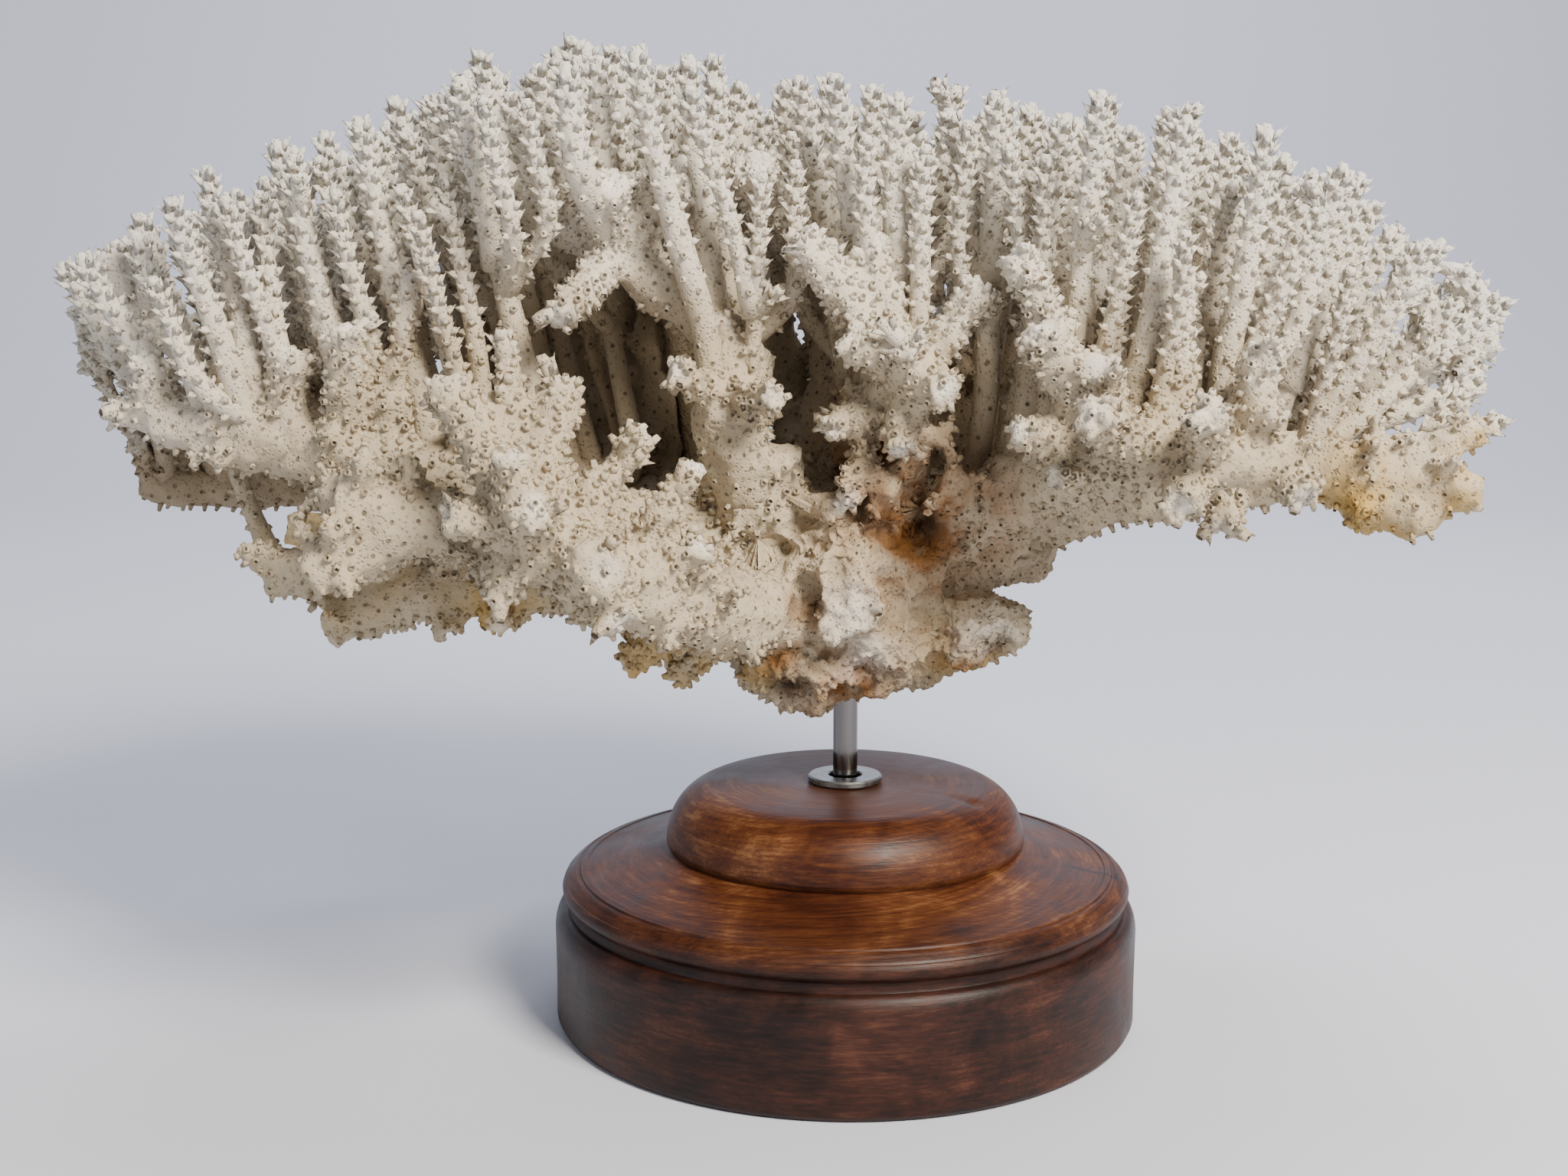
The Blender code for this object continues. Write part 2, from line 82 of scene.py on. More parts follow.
# %% Helpers for colours, objects and nodes
def linear(hex_colour):
    """The linear RGBA of an sRGB hex colour."""
    channels = [int(hex_colour[i:i + 2], 16) / 255 for i in (1, 3, 5)]
    return [c / 12.92 if c <= 0.04045 else ((c + 0.055) / 1.055) ** 2.4 for c in channels] + [1.0]


def new_material(name, roughness, metallic=0.0):
    """A material, its Principled shader, and the place on the object at each point."""
    material = bpy.data.materials.new(name)
    material.use_nodes = True
    shader = material.node_tree.nodes["Principled BSDF"]
    shader.inputs["Roughness"].default_value = roughness
    shader.inputs["Metallic"].default_value = metallic
    return material, shader, add_node(material, "TexCoord").outputs["Object"]


def add_object(name, data):
    """A new object in the scene with the data given."""
    added = bpy.data.objects.new(name, data)
    scene.collection.objects.link(added)
    return added


def add_piece(name, mesh, node):
    """A finished piece that rides on the stand's one body and stands for a CAD node."""
    piece = add_object(name, mesh)
    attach(piece, "root")
    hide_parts(node)
    return piece


def add_node(material, kind, settings=None, **inputs):
    """Adds a node. An input is named, or numbered as i0, and takes a value or another node's output."""
    node = material.node_tree.nodes.new("ShaderNode" + kind)
    for name, value in (settings or {}).items():
        setattr(node, name, value)
    for name, value in inputs.items():
        socket = node.inputs[int(name[1:]) if name[1:].isdigit() else name]
        if isinstance(value, bpy.types.NodeSocket):
            material.node_tree.links.new(value, socket)
        else:
            socket.default_value = value
    return node


def reckon(material, operation, *values):
    """A sum, product or the like of values."""
    inputs = {f"i{k}": value for k, value in enumerate(values)}
    return add_node(material, "Math", {"operation": operation}, **inputs).outputs["Value"]


def noise_at(material, place, scale, detail, stretch=(1, 1, 1), **settings):
    """Noise from 0 to 1. A stretch above 1 makes it finer along that axis, and below 1 longer."""
    stretched = add_node(material, "Mapping", Vector=place, Scale=stretch).outputs["Vector"]
    node = add_node(material, "TexNoise", Vector=stretched, Scale=scale, Detail=detail, **settings)
    return node.outputs["Fac"]


def ranged(material, value, low, high, first=0.0, last=1.0):
    """A value that runs from first to last while another runs from low to high."""
    return add_node(material, "MapRange", Value=value, i1=low, i2=high, i3=first, i4=last).outputs["Result"]


def colour_ramp(material, factor, stops):
    """A colour ramp with its stops given as (position, hex colour)."""
    node = add_node(material, "ValToRGB", i0=factor)
    ramp = node.color_ramp
    while len(ramp.elements) < len(stops):
        ramp.elements.new(1.0)
    for element, (position, colour) in zip(ramp.elements, stops):
        element.position = position
        element.color = linear(colour)
    return node.outputs["Color"]


def laid_over(material, below, above, amount):
    """A colour laid over another by an amount."""
    return add_node(material, "Mix", {"data_type": "RGBA"}, i0=amount, i6=below, i7=above).outputs[2]


def add_relief(material, shader, height, strength, depth):
    """Lets a height steer the shader's normal."""
    bump = add_node(material, "Bump", Height=height, Strength=strength, Distance=depth)
    material.node_tree.links.new(bump.outputs["Normal"], shader.inputs["Normal"])


# %% [markdown]
# ## Camera, light and floor
#
# The camera stands where the photographer stood, a little above the coral's middle and looking slightly
# down. Its place was found by laying the solids over the photograph. The light is one large soft window
# from the right and front. A weak fill at the left and another behind keep the shadows open, and a fourth
# light brightens the backdrop. The floor runs up behind in a curve, so that no edge shows.

# %% Camera
camera_data = bpy.data.cameras.new("photo_camera")
camera_data.lens = 45.7
camera_data.sensor_width = 36
camera = add_object("photo_camera", camera_data)
camera.location = (-0.020, -0.633, 0.244)
camera.rotation_euler = (math.radians(90 - 9.3), 0, 0)
scene.camera = camera


# %% Lights
def softbox(name, place, aim, size, watts, colour):
    """A square area light that looks from its place at its aim."""
    data = bpy.data.lights.new(name, "AREA")
    data.size = size
    data.energy = watts
    data.color = linear(colour)[:3]
    light = add_object(name, data)
    light.location = place
    light.rotation_euler = (Vector(aim) - Vector(place)).to_track_quat("-Z", "Y").to_euler()


MIDDLE = (0, 0, 0.2)        # the middle of the object, where the lights are aimed
softbox("window_light", (0.7, -1.0, 1.15), MIDDLE, 0.55, 64, "#fff6ea")
softbox("left_fill", (-1.5, -1.1, 0.7), MIDDLE, 1.2, 6, "#f2f5ff")
softbox("back_light", (0.4, 1.1, 1.4), MIDDLE, 0.9, 9, "#f4f6ff")
softbox("backdrop_light", (0, 0.9, 2.6), (0, 2.6, 0.9), 1.5, 75, "#f0f3ff")
world = bpy.data.worlds.new("soft_room")
world.use_nodes = True
world.node_tree.nodes["Background"].inputs["Color"].default_value = linear("#cdd0d8")
world.node_tree.nodes["Background"].inputs["Strength"].default_value = 0.45
scene.world = world

# %% Floor that curves up behind
FLOOR_HALF = 4.0
BACK_START = 1.4
BACK_CURVE = 1.2
BACK_HEIGHT = 3.0
stage_bm = bmesh.new()
bend = [(BACK_START + BACK_CURVE * math.sin(a), BACK_CURVE * (1 - math.cos(a)))
        for a in (math.radians(d) for d in range(0, 91, 10))]
stage_line = [(-FLOOR_HALF, 0.0), *bend, (BACK_START + BACK_CURVE, BACK_HEIGHT)]
stage_verts = [stage_bm.verts.new((-FLOOR_HALF, y, z)) for y, z in stage_line]
stage_edges = [stage_bm.edges.new(pair) for pair in zip(stage_verts, stage_verts[1:])]
widened = bmesh.ops.extrude_edge_only(stage_bm, edges=stage_edges)["geom"]
bmesh.ops.translate(stage_bm, verts=[v for v in widened if isinstance(v, bmesh.types.BMVert)],
                    vec=(2 * FLOOR_HALF, 0, 0))
bmesh.ops.recalc_face_normals(stage_bm, faces=stage_bm.faces)
if sum(f.normal.z for f in stage_bm.faces) < 0:
    bmesh.ops.reverse_faces(stage_bm, faces=stage_bm.faces)
stage_mesh = bpy.data.meshes.new("floor")
stage_bm.to_mesh(stage_mesh)
stage_bm.free()
stage_mesh.polygons.foreach_set("use_smooth", [True] * len(stage_mesh.polygons))
floor = add_object("floor", stage_mesh)
# Matt paper: it scatters light evenly and shows a faint tooth.
paper, paper_shader, paper_place = new_material("matt backdrop paper", 0.9)
paper_shader.inputs["Base Color"].default_value = linear("#c3c6cf")
add_relief(paper, paper_shader, noise_at(paper, paper_place, 450, 3), 0.15, 0.4 * MM)
stage_mesh.materials.append(paper)


# %% [markdown]
# ## Turned pieces
#
# Everything on the stand was made on a lathe, so one half profile spun round the axis gives each shape. The
# profile is drawn in millimetres as (radius, height) and can hold small steps that the CAD solid leaves
# out.

# %% Turning
def turned(name, profile, steps, material, node):
    """A closed solid of revolution round Z that stands for a CAD node."""
    bm = bmesh.new()
    corners = [bm.verts.new((r * MM, 0, z * MM)) for r, z in profile]
    edges = [bm.edges.new(pair) for pair in zip(corners, corners[1:] + corners[:1])
             if max(v.co.x for v in pair) > 1e-9]
    bmesh.ops.spin(bm, geom=edges, cent=(0, 0, 0), axis=(0, 0, 1), angle=2 * math.pi, steps=steps,
                   use_merge=True)
    bmesh.ops.remove_doubles(bm, verts=bm.verts, dist=1e-6)
    bmesh.ops.recalc_face_normals(bm, faces=bm.faces)
    mesh = bpy.data.meshes.new(name)
    bm.to_mesh(mesh)
    bm.free()
    mesh.materials.append(material)
    mesh.polygons.foreach_set("use_smooth", [True] * len(mesh.polygons))
    mesh.set_sharp_from_angle(angle=math.radians(38))
    print(name, "has", len(mesh.polygons), "faces")
    return add_piece(name, mesh, node)


def arc(centre, radii, start, end, steps):
    """Points on a quarter of an ellipse, between two angles in degrees."""
    angles = [math.radians(start + (end - start) * i / steps) for i in range(steps + 1)]
    return [(centre[0] + radii[0] * math.sin(a), centre[1] + radii[1] * math.cos(a)) for a in angles]


# %% [markdown]
# ## Stained hardwood
#
# The base is an old turned hardwood plinth with a dark, uneven stain. It gives the eye three things: a warm
# orange-brown over its top from the shoulder up, near-black mottling low on the side, and fine lines that
# run round it from the lathe tool, with short pores along the grain. Satin wax keeps a soft gloss.

# %% Wood material
wood, wood_shader, wood_place = new_material("stained and waxed beech", 0.4)
wood_shader.inputs["Specular IOR Level"].default_value = 0.22
wood_axes = add_node(wood, "SeparateXYZ", Vector=wood_place).outputs
flat_place = add_node(wood, "CombineXYZ", X=wood_axes["X"], Y=wood_axes["Y"]).outputs["Vector"]
radius_here = add_node(wood, "VectorMath", {"operation": "LENGTH"}, i0=flat_place).outputs["Value"]
# Fibres are about 0.4 mm wide and 12 times as long. They run along X.
fibres = noise_at(wood, wood_place, 90, 6, stretch=(1, 14, 14), Roughness=0.65)
# The stain lies in cloudy patches 20 to 40 mm wide.
clouds = noise_at(wood, wood_place, 38, 5, Roughness=0.6, Distortion=0.6)
# The lathe tool left lines about 0.9 mm apart. They follow radius and height alone, so they run round.
line_place = add_node(wood, "CombineXYZ", X=radius_here, Z=wood_axes["Z"]).outputs["Vector"]
lathe_lines = noise_at(wood, line_place, 1100, 2)
# Stain and wear were rubbed on while it turned, so their streaks run round it and change slowly on the
# way. Wide ones are about 5 mm apart and thin ones 1.2 mm.
slow_round = add_node(wood, "Mapping", Vector=wood_place, Scale=(0.14, 0.14, 1)).outputs["Vector"]
radius_way = add_node(wood, "CombineXYZ", X=radius_here).outputs["Vector"]
turn_node = add_node(wood, "VectorMath", {"operation": "ADD"}, i0=slow_round, i1=radius_way)
turn_place = turn_node.outputs["Vector"]
wide_lines = noise_at(wood, turn_place, 210, 5, Roughness=0.6)
thin_lines = noise_at(wood, turn_place, 820, 2)
stain = 0.0
for pattern, weight in ((clouds, 0.5), (fibres, 0.25), (thin_lines, 0.28), (wide_lines, 0.3)):
    stain = reckon(wood, "MULTIPLY_ADD", pattern, weight, stain)
side_colour = colour_ramp(wood, stain, [(0.5, "#0e0807"), (0.62, "#20110c"), (0.72, "#321a12"),
                                        (0.86, "#4e2e20")])
top_colour = colour_ramp(wood, stain, [(0.48, "#180c07"), (0.6, "#37190c"), (0.71, "#4f2b14"),
                                       (0.85, "#7a5434")])
# From 41 to 52 mm up, the colour goes over from the darker side ramp to the lighter, more orange top ramp.
upper = ranged(wood, wood_axes["Z"], 41 * MM, 52 * MM)
wood_colour = laid_over(wood, side_colour, top_colour, upper)
# The dome's flat top and its rim are darker towards the rod, most within 30 mm of it.
on_dome = ranged(wood, wood_axes["Z"], 72 * MM, 75 * MM)
darker_near_rod = reckon(wood, "MULTIPLY", ranged(wood, radius_here, 46 * MM, 30 * MM, 0.0, 0.4), on_dome)
wood_colour = laid_over(wood, wood_colour, linear("#4a2e20"), darker_near_rod)
# Pores are dark dashes about 0.3 mm wide and 2 mm long.
pores = ranged(wood, noise_at(wood, wood_place, 420, 1, stretch=(1, 7, 7)), 0.34, 0.26, 0.0, 0.6)
wood_colour = laid_over(wood, wood_colour, linear("#1f120c"), pores)
# One drying crack, about 2 mm wide, runs outwards across the cove at the right.
crack_way = add_node(wood, "Mapping", Vector=wood_place, Rotation=(0, 0, math.radians(11)))
crack_axes = add_node(wood, "SeparateXYZ", Vector=crack_way.outputs["Vector"]).outputs
wander = reckon(wood, "MULTIPLY_ADD", noise_at(wood, wood_place, 160, 3), 3 * MM, crack_axes["Y"])
crack_away = reckon(wood, "ABSOLUTE", reckon(wood, "SUBTRACT", wander, 1.5 * MM))
crack = reckon(wood, "MULTIPLY", ranged(wood, crack_away, 0.5 * MM, 1.2 * MM, 1.0, 0.0),
               ranged(wood, crack_axes["X"], 71 * MM, 76 * MM))
wood_colour = laid_over(wood, wood_colour, linear("#0a0504"), reckon(wood, "MULTIPLY", crack, upper))
wood.node_tree.links.new(wood_colour, wood_shader.inputs["Base Color"])
wood.node_tree.links.new(ranged(wood, clouds, 0.3, 0.7, 0.34, 0.52), wood_shader.inputs["Roughness"])
add_relief(wood, wood_shader, reckon(wood, "ADD", lathe_lines, fibres), 0.35, 0.25 * MM)


# %% Wooden base
base_profile = [(4.4, 76.1), (4.9, 76.3), (36, 76.3), *arc((43, 58), (15.5, 18.0), 2, 90, 22),
                (57.9, 56.9), (57.6, 56.4), (58.4, 56.2),
                *[(58.4 + 26 * t, 56.2 - 6.6 * t ** 0.72) for t in (0.12, 0.25, 0.4, 0.55, 0.7, 0.85)],
                (84.4, 49.6), (84.8, 49.9), (86.6, 49.5), (86.9, 48.9), (87.8, 48.7), (88.2, 48.9),
                (89.3, 48.3), (89.8, 47.6), (90.6, 47.2), (91.2, 46.2), (91.6, 46.1), (92.2, 44.9),
                (92.5, 44.0), (92.4, 43.0), (91.6, 41.6), (90.9, 41.0), (90.5, 40.4), (90.4, 38.4),
                (90.8, 37.6),
                *arc((91.6, 30.6), (3.4, 6.9), 4, 90, 9), (94.9, 24), (94.8, 12), (94.9, 2.2), (94.2, 0.8),
                (93.0, 0.0), (0, 0), (0, 49.6), (4.4, 49.6)]
base = turned("turned_base", base_profile, 256, wood, "wooden_base")

# %% [markdown]
# A plinth this old has been knocked. Its nick and dents are pressed into the mesh: each one takes the
# points within its reach and pushes them along one direction, most at its middle.

# %% Dents in the wood: centre, reach and push in mm
WOOD_DENTS = [((40, -23, 76), 5.0, (-0.6, 0.3, -1.4)), ((33, -89, 24), 5.0, (0, 0.9, 0)),
              ((-12, -94, 9), 4.0, (0, 0.8, 0)), ((-50, -80, 14), 4.0, (0.3, 0.7, 0)),
              ((85, -42, 20), 5.0, (-0.8, 0.3, 0)), ((-20, -57, 60), 5.0, (0, 0.7, -0.3))]
for v in base.data.vertices:
    for centre, reach, push in WOOD_DENTS:
        nearness = max(0.0, 1 - (v.co - Vector(centre) * MM).length / (reach * MM))
        v.co += Vector(push) * MM * nearness ** 1.5
print("pressed", len(WOOD_DENTS), "dents into", base.name)

# %% [markdown]
# ## Steel rod and washer
#
# The rod is bright drawn steel: its polish runs lengthwise, so it shows sharp dark and light bands. The
# washer is an ordinary zinc-plated one, a little duller, with the rounded edge that punching gives.

# %% Steel materials
polished_steel, rod_shader, rod_place = new_material("bright drawn steel", 0.2, 1.0)
rod_shader.inputs["Base Color"].default_value = linear("#6b6866")
# Drawing marks are hair lines along the rod, drawn here 0.3 mm apart so that they show.
draw_marks = noise_at(polished_steel, rod_place, 3000, 2, stretch=(1, 1, 0.03))
rod_roughness = ranged(polished_steel, draw_marks, 0.3, 0.7, 0.06, 0.2)
polished_steel.node_tree.links.new(rod_roughness, rod_shader.inputs["Roughness"])

zinc, zinc_shader, zinc_place = new_material("zinc-plated steel", 0.35, 1.0)
zinc_shader.inputs["Base Color"].default_value = linear("#9a9c9a")
zinc_roughness = ranged(zinc, noise_at(zinc, zinc_place, 500, 4), 0.3, 0.7, 0.25, 0.5)
zinc.node_tree.links.new(zinc_roughness, zinc_shader.inputs["Roughness"])


# %% Rod and washer
turned("steel_rod", [(0, 50), (3.6, 50), (4, 50.4), (4, 131.6), (3.6, 132), (0, 132)], 48, polished_steel,
       "rod")
turned("plated_washer", [(5.4, 77.0), (5.8, 76.6), (11.5, 76.6), (12, 77.0), (12, 78.3), (11.5, 78.8),
                         (5.8, 78.8), (5.4, 78.4)], 64, zinc, "washer")

# %% [markdown]
# ## The coral's plan
#
# The colony grew from a broken trunk. Limbs leave the trunk, and from the limbs and from each other rise
# about three hundred and forty upright fingers, whose tips make a low dome. The CAD model was grown by a
# rule from a short plan: the path of each limb, the broken stubs at the front, the skyline and the outline
# of the crown. Here the same rule runs on the same plan, so the skin lies exactly where the solids are.

# %% Sizes of the fingers
FINGER_SPACING = 22 * MM
FINGER_RADIUS = 5.4 * MM
FINGER_TIP_RADIUS = 3.4 * MM
ELBOW_SLOPE = 0.8           # a finger leaves its root aslant, rising this much for each unit sideways
FINGER_REACH = 34 * MM      # the farthest sideways that a finger starts
STRAIGHT_REACH = 17 * MM    # a finger that stands nearer than this rises straight from its root
STEM_DROP = 28 * MM         # a finger rises from a limb at least this far below its tip
FORK_DROP = (52 * MM, 105 * MM)  # a finger forks from another this far below its own tip
DROP_COST = 0.08            # how much a long finger is put off against one that starts far aside
STALK_RADIUS = 6.4 * MM     # a finger that rises from a limb is this thick at its root
FINGER_CLEARANCE = 0.7 * MM  # between the fingers of two limbs
FINGER_CROWDING = 3.5 * MM  # how far the upper halves of two fingers of one limb may grow into each other
ROOT_TRIES = 40             # how many places of a root are tried for each tip
THIN_SPACING = 17 * MM      # of the thin fingers that fill the room between the others
THIN_SHARE = 0.72           # how thick a thin finger is against the others
THIN_CROWDING = -1.5 * MM   # the upper half of a thin finger keeps this clear
TIP_DROPS = (-2, 9)         # the tips lie between these two depths below the skyline, in mm
THIN_TIP_DROPS = (8, 38)    # and those of the thin fingers between these

# %% Skyline, lean and outline, in mm
SKYLINE = [(-254, 250), (-202, 264), (-161, 288), (-128, 302), (-92, 312), (-31, 307), (15, 297),
           (76, 297), (112, 290), (129, 281), (152, 272), (173, 256), (188, 242), (216, 227)]
SKYLINE_CREST_Y = 10        # the skyline is highest here and falls off towards front and back
SKYLINE_FALL = 0.0012       # mm of fall for each squared mm from the crest
LEAN_X = [(-240, -0.55), (-185, -0.18), (-110, -0.24), (-50, -0.1), (0, 0.0), (60, 0.08), (120, 0.12),
          (150, 0.3), (180, 0.7), (205, 1.3)]
LEAN_Y = [(-90, -0.14), (20, 0.0), (150, 0.3)]
CROWN_OUTLINE = [(-250, -10), (-232, -50), (-190, -62), (-140, -62), (-95, -78), (-55, -70), (-10, -52),
                 (40, -66), (85, -84), (140, -74), (185, -48), (214, -8), (208, 40), (182, 92), (135, 132),
                 (62, 156), (-20, 160), (-100, 150), (-172, 126), (-222, 76), (-246, 24)]

# %% Limbs: paths from the trunk outwards with their end radii, in mm
LIMBS = {
    "crown_left_limb": [
        ([(-16, -16, 150), (-30, -34, 174), (-38, -38, 198), (-32, -32, 220)], 13, 11),
        ([(-32, -32, 218), (-70, -36, 246), (-108, -30, 266)], 9, 6),
        ([(-32, -30, 218), (-58, -8, 252), (-88, 4, 280)], 8, 6)],
    "crown_middle_limb": [
        ([(-2, 0, 160), (-4, 0, 192), (0, 6, 222)], 14, 11),
        ([(0, 4, 220), (-22, 24, 250)], 9, 7),
        ([(0, 6, 218), (30, 12, 246)], 9, 7),
        ([(-2, -2, 186), (8, -32, 200), (17, -50, 210)], 10, 8)],
    "crown_back_limb": [
        ([(4, 20, 158), (8, 68, 182), (4, 106, 194), (0, 140, 199)], 12, 7)],
    "crown_back_left_limb": [
        ([(-20, 20, 160), (-46, 58, 180), (-64, 94, 192), (-80, 132, 197)], 12, 7)],
    "left_back_limb": [
        ([(-40, 18, 160), (-96, 62, 176), (-140, 86, 184), (-184, 104, 191)], 12, 7),
        ([(-96, 62, 176), (-116, 98, 185), (-126, 128, 189)], 9, 6),
        ([(-140, 86, 184), (-184, 62, 190), (-214, 50, 198)], 8, 6)],
    "left_wing_limb": [
        ([(-40, 2, 158), (-102, 8, 175), (-138, 16, 184), (-174, 14, 195), (-200, 4, 207), (-218, -6, 228),
          (-232, -10, 246)], 13, 6),
        ([(-102, 8, 174), (-168, 24, 169), (-232, 16, 173)], 8, 6.8)],
    "left_arm_limb": [
        ([(-30, -20, 154), (-76, -42, 167), (-107, -50, 177), (-150, -48, 188), (-184, -42, 194),
          (-206, -38, 199)], 14, 9)],
    "lower_left_limb": [
        ([(-34, -30, 146), (-68, -58, 156), (-101, -76, 170), (-124, -84, 174)], 13, 10),
        ([(-122, -84, 172), (-152, -90, 158)], 9, 8),
        ([(-118, -82, 172), (-145, -90, 181)], 10, 9),
        ([(-104, -76, 168), (-138, -66, 166), (-164, -66, 168)], 7, 5.5)],
    "under_left_limb": [
        ([(-30, -14, 138), (-58, -24, 140), (-92, -40, 149), (-126, -46, 147), (-158, -46, 138)], 13, 7),
        ([(-122, -44, 147), (-150, -34, 151), (-178, -26, 150)], 8, 8)],
    "front_limb": [
        ([(-14, -24, 138), (-36, -58, 142), (-56, -88, 152), (-74, -106, 164), (-88, -112, 174)], 14, 11)],
    "right_front_limb": [
        ([(26, -8, 158), (52, -40, 178), (74, -66, 189), (98, -78, 191), (124, -76, 189)], 13, 9)],
    "right_low_limb": [
        ([(36, -2, 156), (88, -22, 176), (134, -36, 182), (158, -46, 182)], 13, 10),
        ([(152, -44, 183), (186, -50, 195)], 6.5, 4.5),
        ([(152, -44, 181), (185, -55, 177)], 8, 6.5),
        ([(150, -44, 180), (169, -52, 166)], 8, 6)],
    "right_middle_limb": [
        ([(36, 8, 158), (80, 14, 173), (122, 12, 186), (164, 4, 202), (202, -5, 222)], 13, 7),
        ([(122, 12, 186), (154, 36, 195), (188, 46, 203)], 9, 6)],
    "right_back_limb": [
        ([(30, 18, 160), (66, 58, 178), (92, 86, 188), (110, 124, 193)], 12, 7),
        ([(66, 58, 178), (106, 62, 187), (148, 78, 193)], 9, 6),
        ([(66, 58, 178), (56, 100, 189), (48, 134, 193)], 8, 6)],
}

# %% Broken stubs: tip in mm, radius at the limb and at the tip
STUBS = {
    "crown_left_limb": [((-69, -58, 266), 7.5, 7), ((-84, -66, 228), 7, 6), ((-52, -62, 214), 7, 5),
                        ((-22, -66, 206), 6.5, 5), ((-50, -44, 270), 7, 7), ((-118, -44, 250), 6.5, 4.5)],
    "crown_middle_limb": [((-30, -40, 272), 6.5, 6.5), ((-16, -52, 252), 7, 6.5), ((4, -48, 250), 6.5, 6),
                          ((-2, -62, 222), 7, 6.5), ((13, -66, 222), 7, 6.5), ((26, -68, 208), 8, 7),
                          ((14, -56, 190), 7, 6), ((-8, -52, 195), 6.5, 5.5), ((-2, -50, 174), 5.5, 4.5),
                          ((38, -56, 238), 7, 6.5)],
    "left_wing_limb": [((-244, 14, 211), 6.5, 6.5), ((-226, 0, 188), 5, 4)],
    "left_arm_limb": [((-181, -46, 221), 8, 6.5), ((-164, -49, 218), 8, 7.5), ((-222, -41, 201), 6.5, 5.5),
                      ((-144, -60, 226), 7.5, 6.5), ((-208, -46, 216), 7, 6), ((-126, -54, 244), 6, 4)],
    "lower_left_limb": [((-98, -94, 158), 9, 7)],
    "under_left_limb": [((-148, -47, 132), 6, 5), ((-119, -51, 134), 7, 6), ((-104, -54, 138), 6, 5)],
    "front_limb": [((-110, -101, 213), 8, 7), ((-90, -126, 196), 7, 6.5), ((-84, -130, 182), 9, 8),
                   ((-66, -128, 166), 11, 10), ((-63, -114, 150), 9, 8), ((-98, -114, 154), 8, 5),
                   ((-79, -96, 213), 8, 6), ((-58, -100, 200), 7, 5), ((-44, -96, 190), 6, 4),
                   ((-42, -96, 168), 6.5, 5.5), ((-96, -92, 224), 6, 4), ((-108, -118, 178), 8, 6),
                   ((-53, -46, 122), 8, 6), ((-66, -58, 128), 8, 6)],
    "right_front_limb": [((44, -64, 248), 7, 6.5), ((50, -84, 226), 9, 8), ((66, -88, 216), 7, 6),
                         ((44, -82, 198), 8, 6.5), ((90, -64, 246), 6.5, 6), ((62, -104, 204), 8, 7),
                         ((92, -106, 204), 9, 6), ((112, -84, 222), 7.5, 6), ((88, -94, 178), 9, 7),
                         ((122, -92, 180), 7, 5.5), ((54, -84, 184), 6.5, 5)],
    "right_low_limb": [((150, -42, 167), 9, 7), ((112, -44, 166), 7, 5)],
    "right_middle_limb": [((190, -2, 242), 6.5, 5.5), ((172, 8, 254), 6, 5), ((192, -13, 209), 6, 5)],
}

# %% Lumps of the trunk: centre and half sizes in mm
TRUNK_LUMPS = [((0, -2, 150), (46, 38, 30)), ((2, -8, 127), (40, 33, 19)), ((-16, -24, 121), (21, 20, 15)),
               ((38, -24, 131), (18, 17, 12)), ((-5, -38, 156), (16, 16, 12)), ((50, -4, 148), (15, 10, 6)),
               ((-36, -6, 150), (24, 26, 18)), ((44, 0, 156), (26, 24, 15))]
TRUNK_SCAR = [((0, -28, 140), 12), ((-1, -55, 142), 11)]
# Hollows in the trunk: centre, reach and depth in mm
HOLLOWS = [((-13, -50, 143), 7, 6), ((-18, -40, 117), 9, 5), ((8, -40, 116), 8, 4), ((20, -44, 120), 6, 3),
           ((46, -36, 126), 7, 3), ((-34, -38, 148), 9, 4), ((24, -36, 166), 10, 4)]


# %% [markdown]
# The rule works tip by tip. For each place in a shaken grid it looks for the nearest root on a limb, or on
# a finger that already stands, and keeps the finger only if it doesn't run into another.

# %% Measuring helpers of the rule
NEARBY = 32 * MM            # two branches whose middles are this far apart can't touch


def lookup(table, x):
    """Straight-line reading of a table of (x, value), held level past its ends."""
    return np.interp(x, [row[0] for row in table], [row[1] for row in table])


def tip_height(x, y):
    """How high the crown reaches over a place."""
    fall = SKYLINE_FALL * (y / MM - SKYLINE_CREST_Y) ** 2
    return (lookup(SKYLINE, x / MM) - fall) * MM


def inside_outline(x, y):
    """Whether a point seen from above is in the crown, by counting the outline's edges to its right."""
    inside = False
    for (x0, y0), (x1, y1) in zip(CROWN_OUTLINE, CROWN_OUTLINE[1:] + CROWN_OUTLINE[:1]):
        if (y0 * MM > y) != (y1 * MM > y):
            crossing = x0 + (y / MM - y0) / (y1 - y0) * (x1 - x0)
            if x < crossing * MM:
                inside = not inside
    return inside


def branch(points, first_radius, last_radius):
    """A tapered branch: its points and the radius at each."""
    last = len(points) - 1
    radii = [first_radius + (last_radius - first_radius) * i / last for i in range(len(points))]
    return points, radii


def samples(shape, step=4 * MM):
    """Rows of x, y, z and radius spaced along a branch."""
    points, radii = shape
    rows = []
    for a, b, ra, rb in zip(points, points[1:], radii, radii[1:]):
        count = max(2, math.ceil((b - a).length / step))
        rows += [(*a.lerp(b, i / count), ra + (rb - ra) * i / count) for i in range(count + 1)]
    return np.array(rows)


def clear_of(found, others, margin):
    """Whether every sample of one set keeps the margin to every sample of another."""
    if not len(found) or not len(others):
        return True
    low = found[:, :3].min(axis=0) - NEARBY
    high = found[:, :3].max(axis=0) + NEARBY
    others = others[((others[:, :3] > low) & (others[:, :3] < high)).all(axis=1)]
    if not len(others):
        return True
    apart = np.linalg.norm(found[:, None, :3] - others[None, :, :3], axis=2)
    return bool((apart - found[:, None, 3] - others[None, :, 3]).min() > margin)


